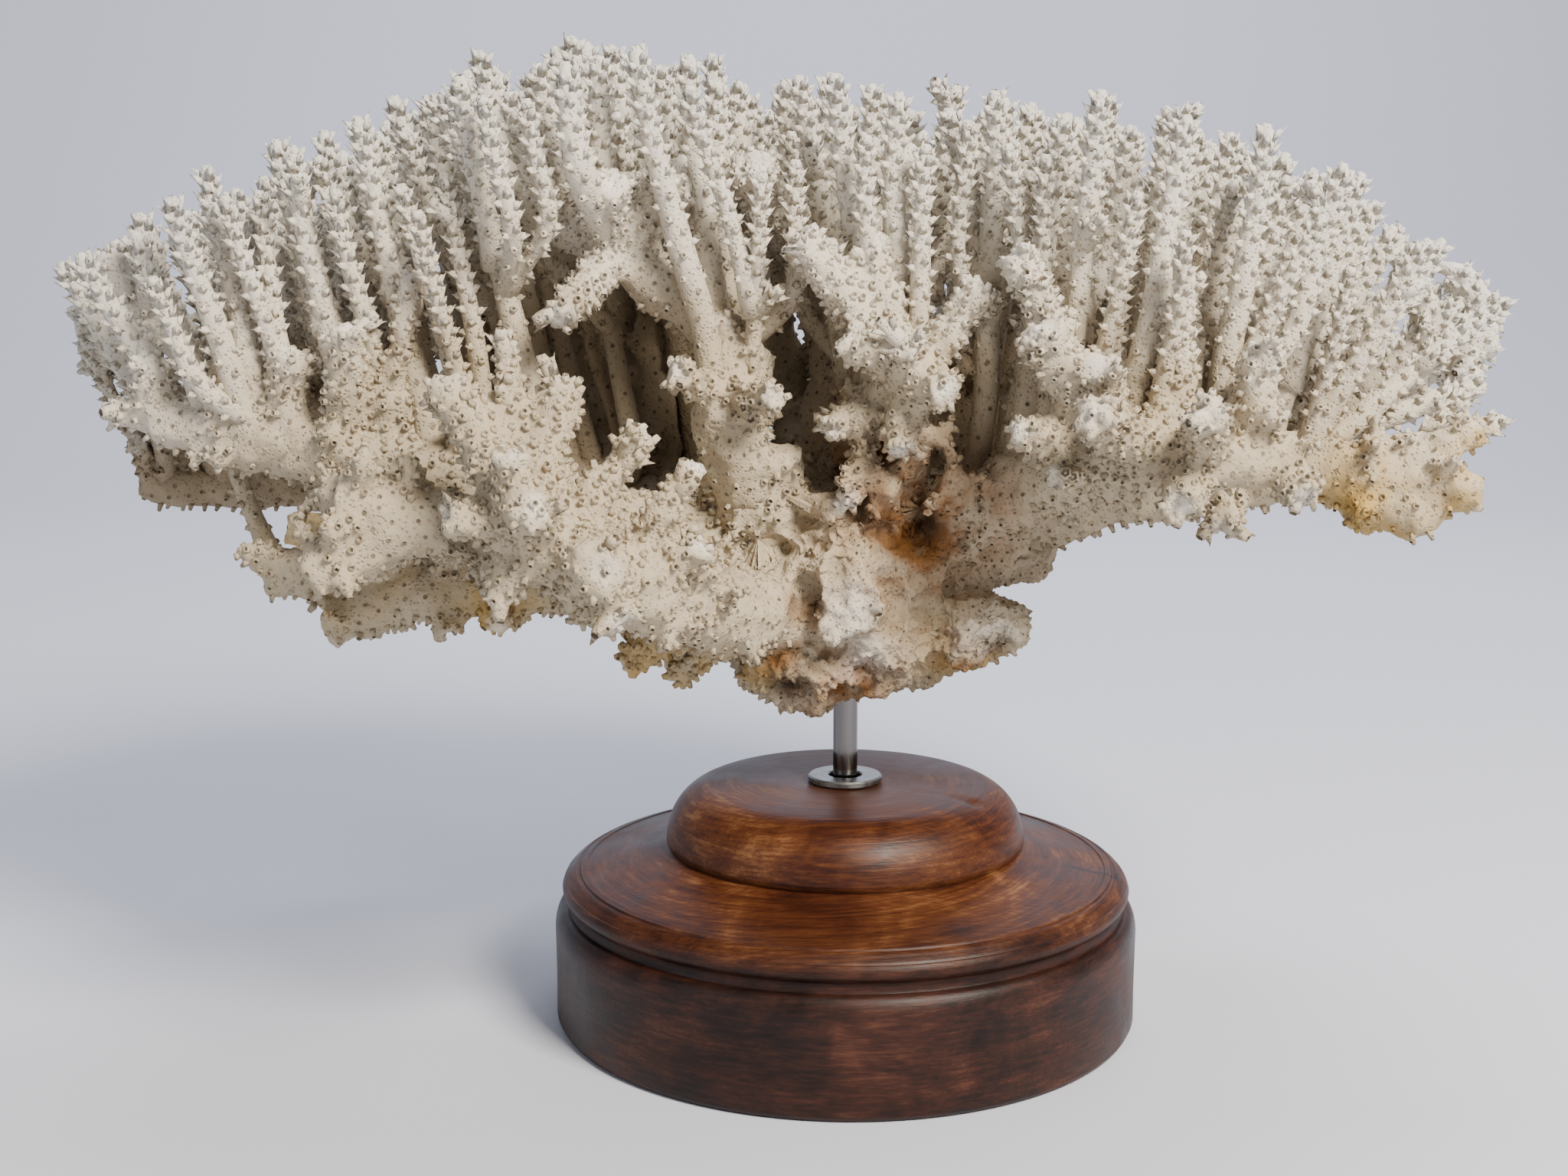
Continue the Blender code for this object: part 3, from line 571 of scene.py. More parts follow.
def lean_at(tip):
    """How far a finger with this tip leans along X and Y for each unit of height."""
    return Vector((lookup(LEAN_X, tip.x / MM), lookup(LEAN_Y, tip.y / MM), 1.0))


def reaches(tip, roots):
    """How far sideways from each root a finger with this tip would stand."""
    feet = np.array(tip) - (tip.z - roots[:, 2:3]) * np.array(lean_at(tip))
    return np.linalg.norm(feet - roots[:, :3], axis=1)


# %% Places and roots of the fingers
def finger_sites(stems, seed, spacing, lowest_drop, highest_drop):
    """Places of the tips: a triangular grid seen from above, shaken a little, nearest to a limb first."""
    dice = random.Random(seed)
    row_step = spacing * math.sqrt(3) / 2
    shake = spacing * 0.2
    low = np.min(CROWN_OUTLINE, axis=0) * MM
    size = np.max(CROWN_OUTLINE, axis=0) * MM - low
    sites = []
    for row in range(math.ceil(size[1] / row_step)):
        for column in range(math.ceil(size[0] / spacing)):
            x = float(low[0]) + (column + row % 2 / 2) * spacing + dice.uniform(-shake, shake)
            y = float(low[1]) + row * row_step + dice.uniform(-shake, shake)
            height = dice.uniform(-highest_drop, -lowest_drop) * MM
            if inside_outline(x, y):
                sites.append(Vector((x, y, tip_height(x, y) + height)))
    return sorted(sites, key=lambda tip: reaches(tip, stems).min())


def fingers_to(tip, stems, fingers):
    """Fingers with this tip that rise from a stem or fork from a finger, and their limb, the best first."""
    choices = []
    for name in stems:
        for roots, drops, thick in ((stems[name], (STEM_DROP, 1.0), STALK_RADIUS),
                                    (fingers[name], FORK_DROP, FINGER_RADIUS)):
            reach = reaches(tip, roots)
            drop = tip.z - roots[:, 2]
            fit = (reach < FINGER_REACH) & (drop > drops[0]) & (drop < drops[1])
            cost = reach + DROP_COST * drop
            choices += [(cost[i], name, Vector(roots[i, :3]), reach[i], thick) for i in np.nonzero(fit)[0]]
    choices.sort(key=lambda choice: choice[0])
    for _, name, root, reach, thick in choices[:ROOT_TRIES]:
        if reach < STRAIGHT_REACH:
            yield name, ([root, tip], [thick, FINGER_TIP_RADIUS])
        else:
            foot = tip - lean_at(tip) * (tip.z - root.z)
            elbow = foot.lerp(tip, ELBOW_SLOPE * reach / (tip.z - root.z))
            yield name, ([root, elbow, tip], [thick * 0.9, thick * 0.95, FINGER_TIP_RADIUS])


# %% Growing the colony
def grow_colony():
    """Every branch of the colony by limb, each with its kind: stem, stub or finger."""
    limbs = {name: [branch([Vector(p) * MM for p in path], r0 * MM, r1 * MM) for path, r0, r1 in paths]
             for name, paths in LIMBS.items()}
    stems = {name: np.vstack([samples(shape) for shape in shapes]) for name, shapes in limbs.items()}
    kinds = {name: ["stem"] * len(shapes) for name, shapes in limbs.items()}
    for name, stubs in STUBS.items():
        for tip, r0, r1 in stubs:
            tip = Vector(tip) * MM
            nearest = np.linalg.norm(stems[name][:, :3] - np.array(tip), axis=1).argmin()
            limbs[name].append(branch([Vector(stems[name][nearest, :3]), tip], r0 * MM, r1 * MM))
            kinds[name].append("stub")
    taken = {name: np.vstack([samples(shape) for shape in shapes]) for name, shapes in limbs.items()}
    fingers = {name: np.empty((0, 4)) for name in limbs}
    all_stems = np.vstack(list(stems.values()))
    sites = finger_sites(all_stems, SEED, FINGER_SPACING, *TIP_DROPS)
    thin_sites = finger_sites(all_stems, SEED + 1, THIN_SPACING, *THIN_TIP_DROPS)
    for kind, share, crowding, tips in (("finger", 1.0, FINGER_CROWDING, sites),
                                        ("thin finger", THIN_SHARE, THIN_CROWDING, thin_sites)):
        for tip in tips:
            rest = {name: np.vstack([room for other, room in taken.items() if other != name])
                    for name in taken}
            for name, (points, radii) in fingers_to(tip, stems, fingers):
                finger = points, [r * share for r in radii]
                found = samples(finger)
                others = rest[name]
                free = found[found[:, 2] > (points[0].z + tip.z) / 2]
                if clear_of(found, others, FINGER_CLEARANCE) and clear_of(free, fingers[name], -crowding):
                    limbs[name].append(finger)
                    kinds[name].append(kind)
                    taken[name] = np.vstack([taken[name], found])
                    fingers[name] = np.vstack([fingers[name], found])
                    break
    return {name: list(zip(limbs[name], kinds[name])) for name in limbs}


colony = grow_colony()

# %% [markdown]
# Some small branches are left out of the solids. In the middle and at the left they close the view through
# the crown, short ones stand in the hollow over the trunk, and three thin ones end the limb at the right.

# %% Inner branches: path in mm, end radii and kind
INNER_BRANCHES = {
    "crown_middle_limb": [([(-10, 14, 168), (-19, 32, 196), (-26, 40, 232)], 9, 7, "stem"),
                          ([(10, 18, 165), (27, 32, 188), (36, 38, 226)], 9, 7, "stem"),
                          ([(2, 16, 166), (6, 34, 190), (4, 44, 226)], 9, 7, "stem"),
                          ([(34, 8, 158), (38, 24, 182), (42, 30, 216)], 9, 7, "stem"),
                          ([(-20, -10, 160), (-19, -28, 172), (-18, -42, 189)], 7, 4.5, "stem"),
                          ([(-6, -20, 155), (-8, -34, 164), (-9, -44, 175)], 7, 4.5, "stem"),
                          ([(14, 0, 165), (18, -26, 178), (20, -44, 195)], 7, 5, "stem"),
                          ([(10, -10, 160), (11, -30, 168), (11, -46, 180)], 7, 5, "stem"),
                          ([(-30, -20, 165), (-33, -36, 176), (-36, -48, 190)], 7, 5, "stem"),
                          ([(22, -14, 158), (28, -34, 166), (30, -46, 178)], 7, 5, "stem")],
    "left_wing_limb": [([(-70, 8, 168), (-86, 26, 204), (-92, 30, 238)], 9, 7, "stem"),
                       ([(-60, 6, 168), (-64, 26, 204), (-62, 32, 240)], 9, 7, "stem")],
    "right_low_limb": [([(120, -20, 186), (160, -30, 197), (196, -20, 206)], 6, 4.5, "thin finger"),
                       ([(128, -34, 184), (168, -44, 190), (198, -34, 197)], 5.5, 4.5, "thin finger"),
                       ([(126, -30, 178), (160, -30, 172), (190, -26, 178)], 5.5, 4.5, "thin finger")]}
for limb, inner_paths in INNER_BRANCHES.items():
    for path, r0, r1, kind in inner_paths:
        colony[limb].append((branch([Vector(point) * MM for point in path], r0 * MM, r1 * MM), kind))
print("inner branches:", sum(len(paths) for paths in INNER_BRANCHES.values()))

# %% [markdown]
# Short side shoots break the smooth lines of limbs, stubs and fingers. On top they lean towards the light,
# and on the underside they stay as short knobs. They are too small for the solids, so they grow here only.

# %% Shoots
SHOOT_ROOM = 4 * MM         # shoots end this far inside the CAD box


def shoot(dice, start, run, radius, length_range, width, kind):
    """A short side branch from a place on a branch, or nothing where it would leave the CAD box."""
    aside = run.cross(Vector((dice.uniform(-1, 1), dice.uniform(-1, 1), dice.uniform(-1, 1)))).normalized()
    # Below a limb they are about half as long and point down a little. Above it they turn up.
    below = aside.z < -0.25
    length = radius + dice.uniform(*length_range) * (0.55 if below else 1.0) * MM
    way = (aside + run * 0.35 + Vector((0, 0, -0.1 if below else 0.45))).normalized()
    if kind == "twig":
        way = (aside + run * 1.1).normalized()
    tip = start + way * length
    inside = all(low + SHOOT_ROOM < c < high - SHOOT_ROOM for c, low, high in zip(tip, *CAD_BOX))
    return [(([start, tip], [width * MM, width * 0.75 * MM]), kind)] if inside else []


# For each kind of branch: mm between its shoots, the stretch that has them, their length beyond its surface
# in mm, their radius in mm and their kind.
SHOOT_RULES = {"stem": (10, (0.1, 1.0), (4, 12), 2.7, "shoot"),
               "stub": (8, (0.4, 0.92), (3, 7), 2.7, "twig"),
               "finger": (80, (0.45, 0.85), (7, 12), 3, "twig"),
               "thin finger": (110, (0.5, 0.85), (6, 10), 2.6, "twig")}
BARE_END = Vector((-232, 16, 173)) * MM     # the long grey limb end at the left is smooth
# These limbs have shoots twice as close as the others.
KNOBBY_LIMBS = ("front_limb", "right_front_limb", "crown_middle_limb", "under_left_limb",
                "left_arm_limb", "lower_left_limb")


def add_shoots():
    """Adds its shoots and twigs to every limb of the colony."""
    dice = random.Random(SEED + 2)
    for name, shapes in colony.items():
        for (points, radii), kind in list(shapes):
            step, (first, last), length_range, width, new_kind = SHOOT_RULES[kind]
            if (points[-1] - BARE_END).length < 1 * MM:
                continue
            if kind == "stem" and name in KNOBBY_LIMBS:
                step /= 2
            for a, b, ra, rb in zip(points, points[1:], radii, radii[1:]):
                run = b - a
                for i in range(int(run.length * (last - first) / (step * MM) + dice.random())):
                    t = first + (last - first) * dice.random()
                    shapes += shoot(dice, a.lerp(b, t), run.normalized(), ra + (rb - ra) * t, length_range,
                                    width, new_kind)


add_shoots()
for limb, shapes in colony.items():
    kinds = [kind for _, kind in shapes]
    print(limb, "has", kinds.count("finger") + kinds.count("thin finger"), "fingers, and",
          kinds.count("shoot") + kinds.count("twig"), "shoots and twigs")

# %% [markdown]
# ## The skin of the limbs
#
# Where a shoot leaves a limb, the real skeleton is filled out with stone, so there is no sharp crease. A
# voxel remesh makes one skin over all the overlapping tubes of limbs, stubs, shoots and trunk. The tubes
# are made a little too thick first, and the skin is drawn in again by the same amount afterwards. Outer
# corners come back to where they were, but the inner ones stay filled: that gives the webs and fillets.

# %% Sizes of the skin
FILLET = 0.7 * MM           # how much too thick the tubes are before the remesh
CELL = 2.0 * MM             # voxel size
TUBE_SIDES = 9              # of the tubes before the remesh
SCAR_SIDES = 12             # of the broken face at the front of the trunk
KINDS = ["stem", "stub", "finger", "thin finger", "twig", "shoot", "trunk"]
# Branches of these kinds are columns of their own, and the others are under the skin.
COLUMNS = ("finger", "thin finger", "twig")
# A core is thinner than its solid by this share, which leaves its cups room.
CORE_SHARE = {"stem": 0.95, "stub": 0.84, "shoot": 0.95, "finger": 0.74, "thin finger": 0.74, "twig": 0.8}


# %% Thick tubes and lumps
def tube(points, radii, sides):
    """A round branch: a ring is extruded from point to point, turned and narrowed as it goes."""
    runs = [(b - a).normalized() for a, b in zip(points, points[1:])]
    facings = [runs[0]] + [(a + b).normalized() for a, b in zip(runs, runs[1:])] + [runs[-1]]
    upright = Vector((0, 0, 1)).rotation_difference(facings[0]).to_matrix().to_4x4()
    bm = bmesh.new()
    made = bmesh.ops.create_circle(bm, cap_ends=True, segments=sides, radius=radii[0],
                                   matrix=Matrix.Translation(points[0]) @ upright)
    cap = made["verts"][0].link_faces[0]
    for i in range(1, len(points)):
        grown = bmesh.ops.extrude_face_region(bm, geom=[cap])["geom"]
        if i > 1:
            bmesh.ops.delete(bm, geom=[cap], context="FACES_ONLY")
        ring = [v for v in grown if isinstance(v, bmesh.types.BMVert)]
        cap = next(f for f in grown if isinstance(f, bmesh.types.BMFace))
        turn = facings[i - 1].rotation_difference(facings[i]).to_matrix()
        bmesh.ops.translate(bm, verts=ring, vec=points[i] - points[i - 1])
        bmesh.ops.rotate(bm, verts=ring, cent=points[i], matrix=turn)
        bmesh.ops.scale(bm, verts=ring, vec=[radii[i] / radii[i - 1]] * 3,
                        space=Matrix.Translation(-points[i]))
    return bm


def lump(centre, half_sizes, extra):
    """A dented ball that is longer one way than another."""
    bm = bmesh.new()
    bmesh.ops.create_icosphere(bm, subdivisions=4, radius=1.0)
    for v in bm.verts:
        v.co = Vector(c * (h * MM + extra) for c, h in zip(v.co, half_sizes)) + Vector(centre) * MM
        v.co += noise.noise_vector(v.co * 55) * 2.2 * MM
    return bm


def thick_shapes():
    """Every tube and lump, each a small bmesh of its own, because operators slow down in a large one."""
    made = []
    for shapes in colony.values():
        for (points, radii), kind in shapes:
            if kind in COLUMNS:
                continue
            core = [r * CORE_SHARE[kind] + FILLET for r in radii]
            if kind == "stub":
                run = (points[-1] - points[-2]).normalized()
                points = points[:-1] + [points[-1] + run * (FILLET - 0.5 * MM)]
            made.append(tube(points, core, TUBE_SIDES))
    made += [lump(centre, half_sizes, FILLET) for centre, half_sizes in TRUNK_LUMPS]
    made.append(tube([Vector(p) * MM for p, _ in TRUNK_SCAR], [r * MM + FILLET for _, r in TRUNK_SCAR],
                     SCAR_SIDES))
    return made


# %% One skin over everything
def remeshed(shapes, cell):
    """A mesh with a voxel skin over many closed shapes."""
    points = []
    faces = []
    for bm in shapes:
        bmesh.ops.recalc_face_normals(bm, faces=bm.faces)
        bm.verts.index_update()
        faces += [[v.index + len(points) for v in f.verts] for f in bm.faces]
        points += [v.co.copy() for v in bm.verts]
        bm.free()
    mesh = bpy.data.meshes.new("thick_shapes")
    mesh.from_pydata(points, [], faces)
    helper = add_object("thick_shapes", mesh)
    modifier = helper.modifiers.new("skin", "REMESH")
    modifier.mode = "VOXEL"
    modifier.voxel_size = cell
    graph = bpy.context.evaluated_depsgraph_get()
    skin = bpy.data.meshes.new_from_object(helper.evaluated_get(graph))
    bpy.data.objects.remove(helper)
    return skin


BROKEN_ENDS = [points[-1] for shapes in colony.values() for (points, _), kind in shapes if kind == "stub"]
BREAK_REACH = 8 * MM        # a broken end is jagged this far from its middle


def drawn_in(skin):
    """The skin smoothed, drawn in by the fillet and roughened, as a bmesh."""
    ends = kdtree.KDTree(len(BROKEN_ENDS))
    for i, end in enumerate(BROKEN_ENDS):
        ends.insert(end, i)
    ends.balance()
    bm = bmesh.new()
    bm.from_mesh(skin)
    for _ in range(2):
        bmesh.ops.smooth_vert(bm, verts=bm.verts, factor=0.5, use_axis_x=True, use_axis_y=True,
                              use_axis_z=True)
    bm.normal_update()
    moves = []
    for v in bm.verts:
        # In mm: swellings 12 and 5 mm across, a crust of 2.5 mm grains, and the jags of a broken end.
        swell = noise.noise(v.co * 80) * 1.9 + noise.noise(v.co * 190) * 1.3
        swell += abs(noise.noise(v.co * 400)) * 1.2
        broken = max(0.0, 1 - ends.find(v.co)[2] / BREAK_REACH)
        jag = noise.noise(v.co * 300) * 3.4 * min(1.0, broken * 2)
        moves.append(v.normal * ((swell + jag - 0.3) * MM - FILLET))
    for v, move in zip(bm.verts, moves):
        v.co += move
    return bm


skin_bm = drawn_in(remeshed(thick_shapes(), CELL))
print("the skin has", len(skin_bm.faces), "faces")

# %% [markdown]
# ## Which branch a place belongs to
#
# The skin is split again into the same named limbs as the CAD model. Each face goes to the branch whose
# surface is nearest, and takes from it the direction of growth and the distance to its tip. Those two steer
# how the cups stand.

# %% Rows of all branches
ROW_STEP = 3 * MM
NODE_NAMES = [*LIMBS, "coral_trunk"]


def branch_rows():
    """A row for each few mm of a branch: place, radius, direction, distance to tip, limb, kind, number."""
    rows = []
    number = 0
    for limb, shapes in colony.items():
        for (points, radii), kind in shapes:
            to_tip = sum((b - a).length for a, b in zip(points, points[1:]))
            number += 1
            for a, b, ra, rb in zip(points, points[1:], radii, radii[1:]):
                run = b - a
                count = max(1, round(run.length / ROW_STEP))
                for i in range(count + 1):
                    t = i / count
                    thick = (ra + (rb - ra) * t) * CORE_SHARE[kind]
                    rows.append((*a.lerp(b, t), thick, *run.normalized(), to_tip - run.length * t,
                                 NODE_NAMES.index(limb), KINDS.index(kind), number))
                to_tip -= run.length
    return np.array(rows)


def tree_of(numbers):
    """A search tree over the places of some of the rows."""
    tree = kdtree.KDTree(len(numbers))
    for number in numbers:
        tree.insert(ROWS[number, :3], number)
    tree.balance()
    return tree


ROWS = branch_rows()
in_column = np.isin(ROWS[:, 9], [KINDS.index(kind) for kind in COLUMNS])
COLUMN_TREE = tree_of(np.nonzero(in_column)[0])
LIMB_TREE = tree_of(np.nonzero(~in_column)[0])
print("branch rows:", len(ROWS))


# %% Nearest branch
SCAR_REACH = 14 * MM        # the trunk reaches this far round the middle of its broken face
BURIED_DEPTH = 0.4 * MM     # a cup is left out when its foot lies this far inside another branch


def trunk_distance(places):
    """Rough distance of each place to the trunk's lumps, negative inside."""
    found = []
    for centre, half in TRUNK_LUMPS:
        half = np.array(half) * MM
        off = (places - np.array(centre) * MM) / half
        found.append((np.linalg.norm(off, axis=1) - 1) * half.mean())
    scar = np.array(TRUNK_SCAR[1][0]) * MM
    found.append(np.linalg.norm(places - scar, axis=1) - SCAR_REACH)
    return np.min(found, axis=0)


def nearest_rows(places):
    """For each place the row of the limb whose surface is nearest, and its distance."""
    chosen = np.empty(len(places), int)
    away = np.empty(len(places))
    for i, place in enumerate(places):
        best = min(LIMB_TREE.find_n(place, 7), key=lambda hit: hit[2] - ROWS[hit[1], 3])
        chosen[i] = best[1]
        away[i] = best[2] - ROWS[best[1], 3]
    return chosen, away


def buried(places, numbers, trees):
    """Whether each place lies inside a branch other than its own."""
    found = []
    for place, number in zip(places, numbers):
        hits = [hit for tree in trees for hit in tree.find_n(place, 8)]
        found.append(any(away < ROWS[row, 3] - BURIED_DEPTH and ROWS[row, 10] != number
                         for _, row, away in hits))
    return np.array(found, bool)


# %% [markdown]
# The trunk is old and eaten: knobs, a grainy crust and a few hollows cover it. Detail that fine needs
# smaller faces than the limbs have, so its faces are divided once before its points are moved. The moves
# fade out towards the limbs, and that hides where the finer faces end.

# %% Rough trunk
TRUNK_FADE = 4 * MM         # the trunk's roughness fades out over this distance
LOW_TRUNK = 136 * MM        # below this height the crust is at its roughest


def roughen_trunk():
    """Finer faces on the trunk, then knobs, crust and the pressed-in hollows."""
    near = trunk_distance(np.array([f.calc_center_median()[:] for f in skin_bm.faces])) < 3 * MM
    edges = {e for f, close in zip(list(skin_bm.faces), near) if close for e in f.edges}
    bmesh.ops.subdivide_edges(skin_bm, edges=list(edges), cuts=1, use_grid_fill=True)
    skin_bm.normal_update()
    away = trunk_distance(np.array([v.co[:] for v in skin_bm.verts]))
    moves = []
    for v, distance in zip(skin_bm.verts, away):
        share = min(1.0, max(0.0, 1 - distance / TRUNK_FADE))
        if not share:
            continue
        low = 1.0 if v.co.z < LOW_TRUNK else 0.5
        # In mm: knobs 17 and 9 mm across, and crust of 2.4 and 1.6 mm grains.
        knobs = noise.noise(v.co * 60) * 4.0 + (1 - abs(noise.noise(v.co * 110)) * 4) * 1.6
        crust = (abs(noise.noise(v.co * 420)) * 3.4 + noise.noise(v.co * 640) * 1.6) * low
        push = (knobs + crust - 2.2) * MM
        for centre, reach, depth in HOLLOWS:
            nearness = 1 - (v.co - Vector(centre) * MM).length / (reach * MM)
            push -= depth * MM * max(0.0, nearness) ** 0.7
        moves.append((v, v.normal * push * share))
    for v, move in moves:
        v.co += move
    print("roughened", len(moves), "points of the trunk")


roughen_trunk()

# %% The node of each face
FAR_FROM_TIP = 200 * MM     # the trunk has no tip, so its faces count as this far from one
skin_bm.normal_update()
skin_bm.faces.ensure_lookup_table()
centres = np.array([f.calc_center_median()[:] for f in skin_bm.faces])
normals = np.array([f.normal[:] for f in skin_bm.faces])
chosen, away = nearest_rows(centres)
on_trunk = trunk_distance(centres) < away + 1 * MM
face_node = np.where(on_trunk, NODE_NAMES.index("coral_trunk"), ROWS[chosen, 8].astype(int))
face_kind = np.where(on_trunk, KINDS.index("trunk"), ROWS[chosen, 9].astype(int))
grow_way = np.where(on_trunk[:, None], (0, 0, 1), ROWS[chosen, 4:7])
to_tip = np.where(on_trunk, FAR_FROM_TIP, ROWS[chosen, 7])
print("faces on the trunk:", int(on_trunk.sum()))

# %% [markdown]
# ## The cups
#
# Each cup held one polyp. High on a finger the cups are nose-shaped and lean towards the tip like shingles,
# with a sharp outer lip. Lower down they are shorter and rounder. On the limbs only a low rim round a dark
# pit is left, with small teeth along the underside. The darkness of the pits is painted shade, laid on the
# faces of each cup's mouth. On the skin they sit on faces taken in a shaken order, and each keeps a least
# distance from those taken before it, because polyps share the room evenly but in no grid. There are about
# thirty thousand, so a cup has only 18 triangles, and all the cups of a limb are made in one array.

# %% Choosing faces for the cups
dice = random.Random(SEED)
LIMB_GAP = 4.1 * MM         # least distance between the cups on limbs
KNOB_GAP = 2.8 * MM         # between the cups on stubs and shoots
TRUNK_GAP = 2.3 * MM        # between the small pits on the trunk
HASH_CELL = 4 * MM          # cups are sorted into cubes of this size, so that only near ones are compared


def spaced_faces(places, gaps):
    """Numbers of faces in a shaken order, each at least its gap away from those taken before it."""
    order = list(range(len(places)))
    dice.shuffle(order)
    taken = []
    by_cell = {}
    for number in order:
        x, y, z = places[number]
        i, j, k = (int(c // HASH_CELL) for c in (x, y, z))
        limit = gaps[number] ** 2
        near = (other for a in (i - 1, i, i + 1) for b in (j - 1, j, j + 1) for c in (k - 1, k, k + 1)
                for other in by_cell.get((a, b, c), ()))
        if all((x - u) ** 2 + (y - v) ** 2 + (z - w) ** 2 > limit for u, v, w in near):
            taken.append(number)
            by_cell.setdefault((i, j, k), []).append((x, y, z))
    return np.array(taken)


on_knob = np.isin(face_kind, [KINDS.index("stub"), KINDS.index("shoot")])
cups = spaced_faces(centres, np.where(on_trunk, TRUNK_GAP, np.where(on_knob, KNOB_GAP, LIMB_GAP)))
print("cups chosen:", len(cups))

# %% Cup shapes by place
CUP_SIDES = 5
ROOT_SINK = 0.5 * MM        # a cup starts this far under the surface, so that no gap shows
PIT_SHARE = 0.3             # the pit's bottom lies at this share of the cup's length


def fade(lengths, start, end):
    """From 0 at the start to 1 at the end, which are in mm, and held beyond them."""
    return np.clip((lengths / MM - start) / (end - start), 0, 1)


def cup_sizes(kind, tip_away, depth, normal_z, along, luck):
    """Length, root width, rim width, tilt from the surface and lip of each cup, and how dark its pit is."""
    finger = np.isin(kind, [KINDS.index(name) for name in COLUMNS])
    stub = (kind == KINDS.index("stub")) | (kind == KINDS.index("shoot"))
    # High is 1 at a tip, and 0 from 75 mm below it on a finger and 55 mm below the skyline on a limb.
    high = np.where(finger, 1 - fade(tip_away, 0, 75), 0.8 * (1 - fade(depth, 0, 55))) ** 0.6
    # Lengths are in mm and the tilt in degrees until the last line.
    length = 0.25 + (1.75 + luck * 0.9) * high
    root = 1.05 + 0.7 * high
    rim = 0.72 - 0.1 * high
    tilt = 88 - 63 * high
    lip = 1.7 * high
    # A pit's darkness is painted shade in its mouth: strongest on the limbs' flush pits, weakest high on a
    # finger.
    pit = 0.85 - 0.65 * high
    # Stubs and shoots have short tubes, the underside has teeth, and the trunk has bare pits.
    tube = stub & (along < 0.8)
    length = np.where(tube, np.maximum(length, 0.9 + luck * 1.5), length)
    root = np.where(tube, 1.35, root)
    rim = np.where(tube, 0.85, rim)
    tilt = np.where(tube, np.minimum(tilt, 60), tilt)
    teeth = ~finger & (normal_z < -0.45)
    length = np.where(teeth, 0.9 + luck * 1.9, length)
    tilt = np.where(teeth, 72, tilt)
    rim = np.where(teeth, 0.6, rim)
    pit = np.where(tube, 0.45, pit) * (0.6 + 0.4 * luck)
    small = kind == KINDS.index("trunk")
    length = np.where(small, 0.15, length)
    root = np.where(small, 0.5 + 0.3 * luck, root)
    rim = np.where(small, 0.3 + 0.25 * luck, rim)
    return length * MM, root * MM, rim * MM, np.radians(tilt), lip * MM, pit


def unit(vectors):
    """Vectors of the same directions and the length 1."""
    return vectors / np.maximum(np.linalg.norm(vectors, axis=1, keepdims=True), 1e-9)


def cup_points(place, out, grow, length, root, rim, tilt, lip):
    """Points of every cup: the root ring, the rim ring and the bottom of the pit."""
    side = unit(np.cross(grow, out))
    uphill = np.cross(out, side)
    axis = uphill * np.cos(tilt)[:, None] + out * np.sin(tilt)[:, None]
    back = np.cross(side, axis)
    root_ring = []
    rim_ring = []
    for k in range(CUP_SIDES):
        a = math.pi / 2 + 2 * math.pi * k / CUP_SIDES
        sideways = side * math.cos(a)
        root_ring.append(place - out * ROOT_SINK + root[:, None] * (sideways - uphill * 1.15 * math.sin(a)))
        reach = length + lip * max(0.0, math.sin(a)) ** 2
        rim_ring.append(place + axis * reach[:, None] + rim[:, None] * (sideways + back * math.sin(a)))
    return np.stack([*root_ring, *rim_ring, place + axis * (length * PIT_SHARE)[:, None]], axis=1)


def cup_triangles():
    """Triangles of one cup over its rings and pit, which of them are smooth, and which line the pit."""
    n = CUP_SIDES
    wall = []
    mouth = []
    for k in range(n):
        j = (k + 1) % n
        wall += [(k, j, n + j), (k, n + j, n + k)]
        mouth.append((n + k, n + j, 2 * n))
    under = [(0, k + 1, k) for k in range(1, n - 1)]
    smooth = [True] * len(wall) + [False] * (len(mouth) + len(under))
    pit_shade_share = [0.0] * len(wall) + [1.0] * len(mouth) + [0.0] * len(under)
    return np.array(wall + mouth + under), smooth, pit_shade_share


CUP_TRIANGLES, CUP_SMOOTH, CUP_PIT_SHADE = cup_triangles()

# %% [markdown]
# ## The fingers
#
# A finger is a slender, slightly crooked column. Its core is a stack of rings, and its cups stand round it
# in a spiral: each next cup is turned on by 137.5 degrees, as seeds in a sunflower are. That tiles a column
# evenly without rows that line up. High on a finger the cups are close, and lower down they thin out.
# Fingers stay apart from each other almost to their roots, so they aren't part of the skin. A finger that
# runs through another needs no joint, and the cups that it would bury are left out.

# %% Rings, bends and cups of a finger
RING_STEP = 6 * MM
RING_SIDES = 8
ROUND_END = 0.8 * MM        # how far a core's end is rounded out past its last ring
ROOT_FLARE = 1.4            # a finger is this much thicker at its root
FLARE_LENGTH = 14 * MM      # and has its own thickness this far on
CROOKS = 1.8 * MM           # how far a finger strays from a straight line
BEND = 8 * MM               # an elbow is rounded over this far to each side
LEAD = 20 * MM              # the path is carried on this far past its ends, so that rounding keeps the ends
SPIRAL_TURN = math.radians(137.5)
END_CUP = 2.0 * MM          # the length of the cup at a finger's end
END_CUP_SIZES = (END_CUP, 2.1 * MM, 1.3 * MM, math.pi / 2, 0.3 * MM)  # with its root, rim, tilt and lip
BOX_ROOM = 1.5 * MM         # a finger's core leaves its cups this much room to the CAD box's sides


def cup_marks():
    """Distances from the tip at which cups stand, 0.72 mm apart near the tip and 2 mm far below it."""
    marks = [3.2 * MM]
    while marks[-1] < 260 * MM:
        marks.append(marks[-1] + (0.72 + 1.28 * min(1.0, marks[-1] / (110 * MM))) * MM)
    return np.array(marks)


CUP_MARKS = cup_marks()
CUP_ROW_WIDTH = 12


# %% Walking along a finger
def length_of(points):
    """The length of a path through the points."""
    return sum((b - a).length for a, b in zip(points, points[1:]))


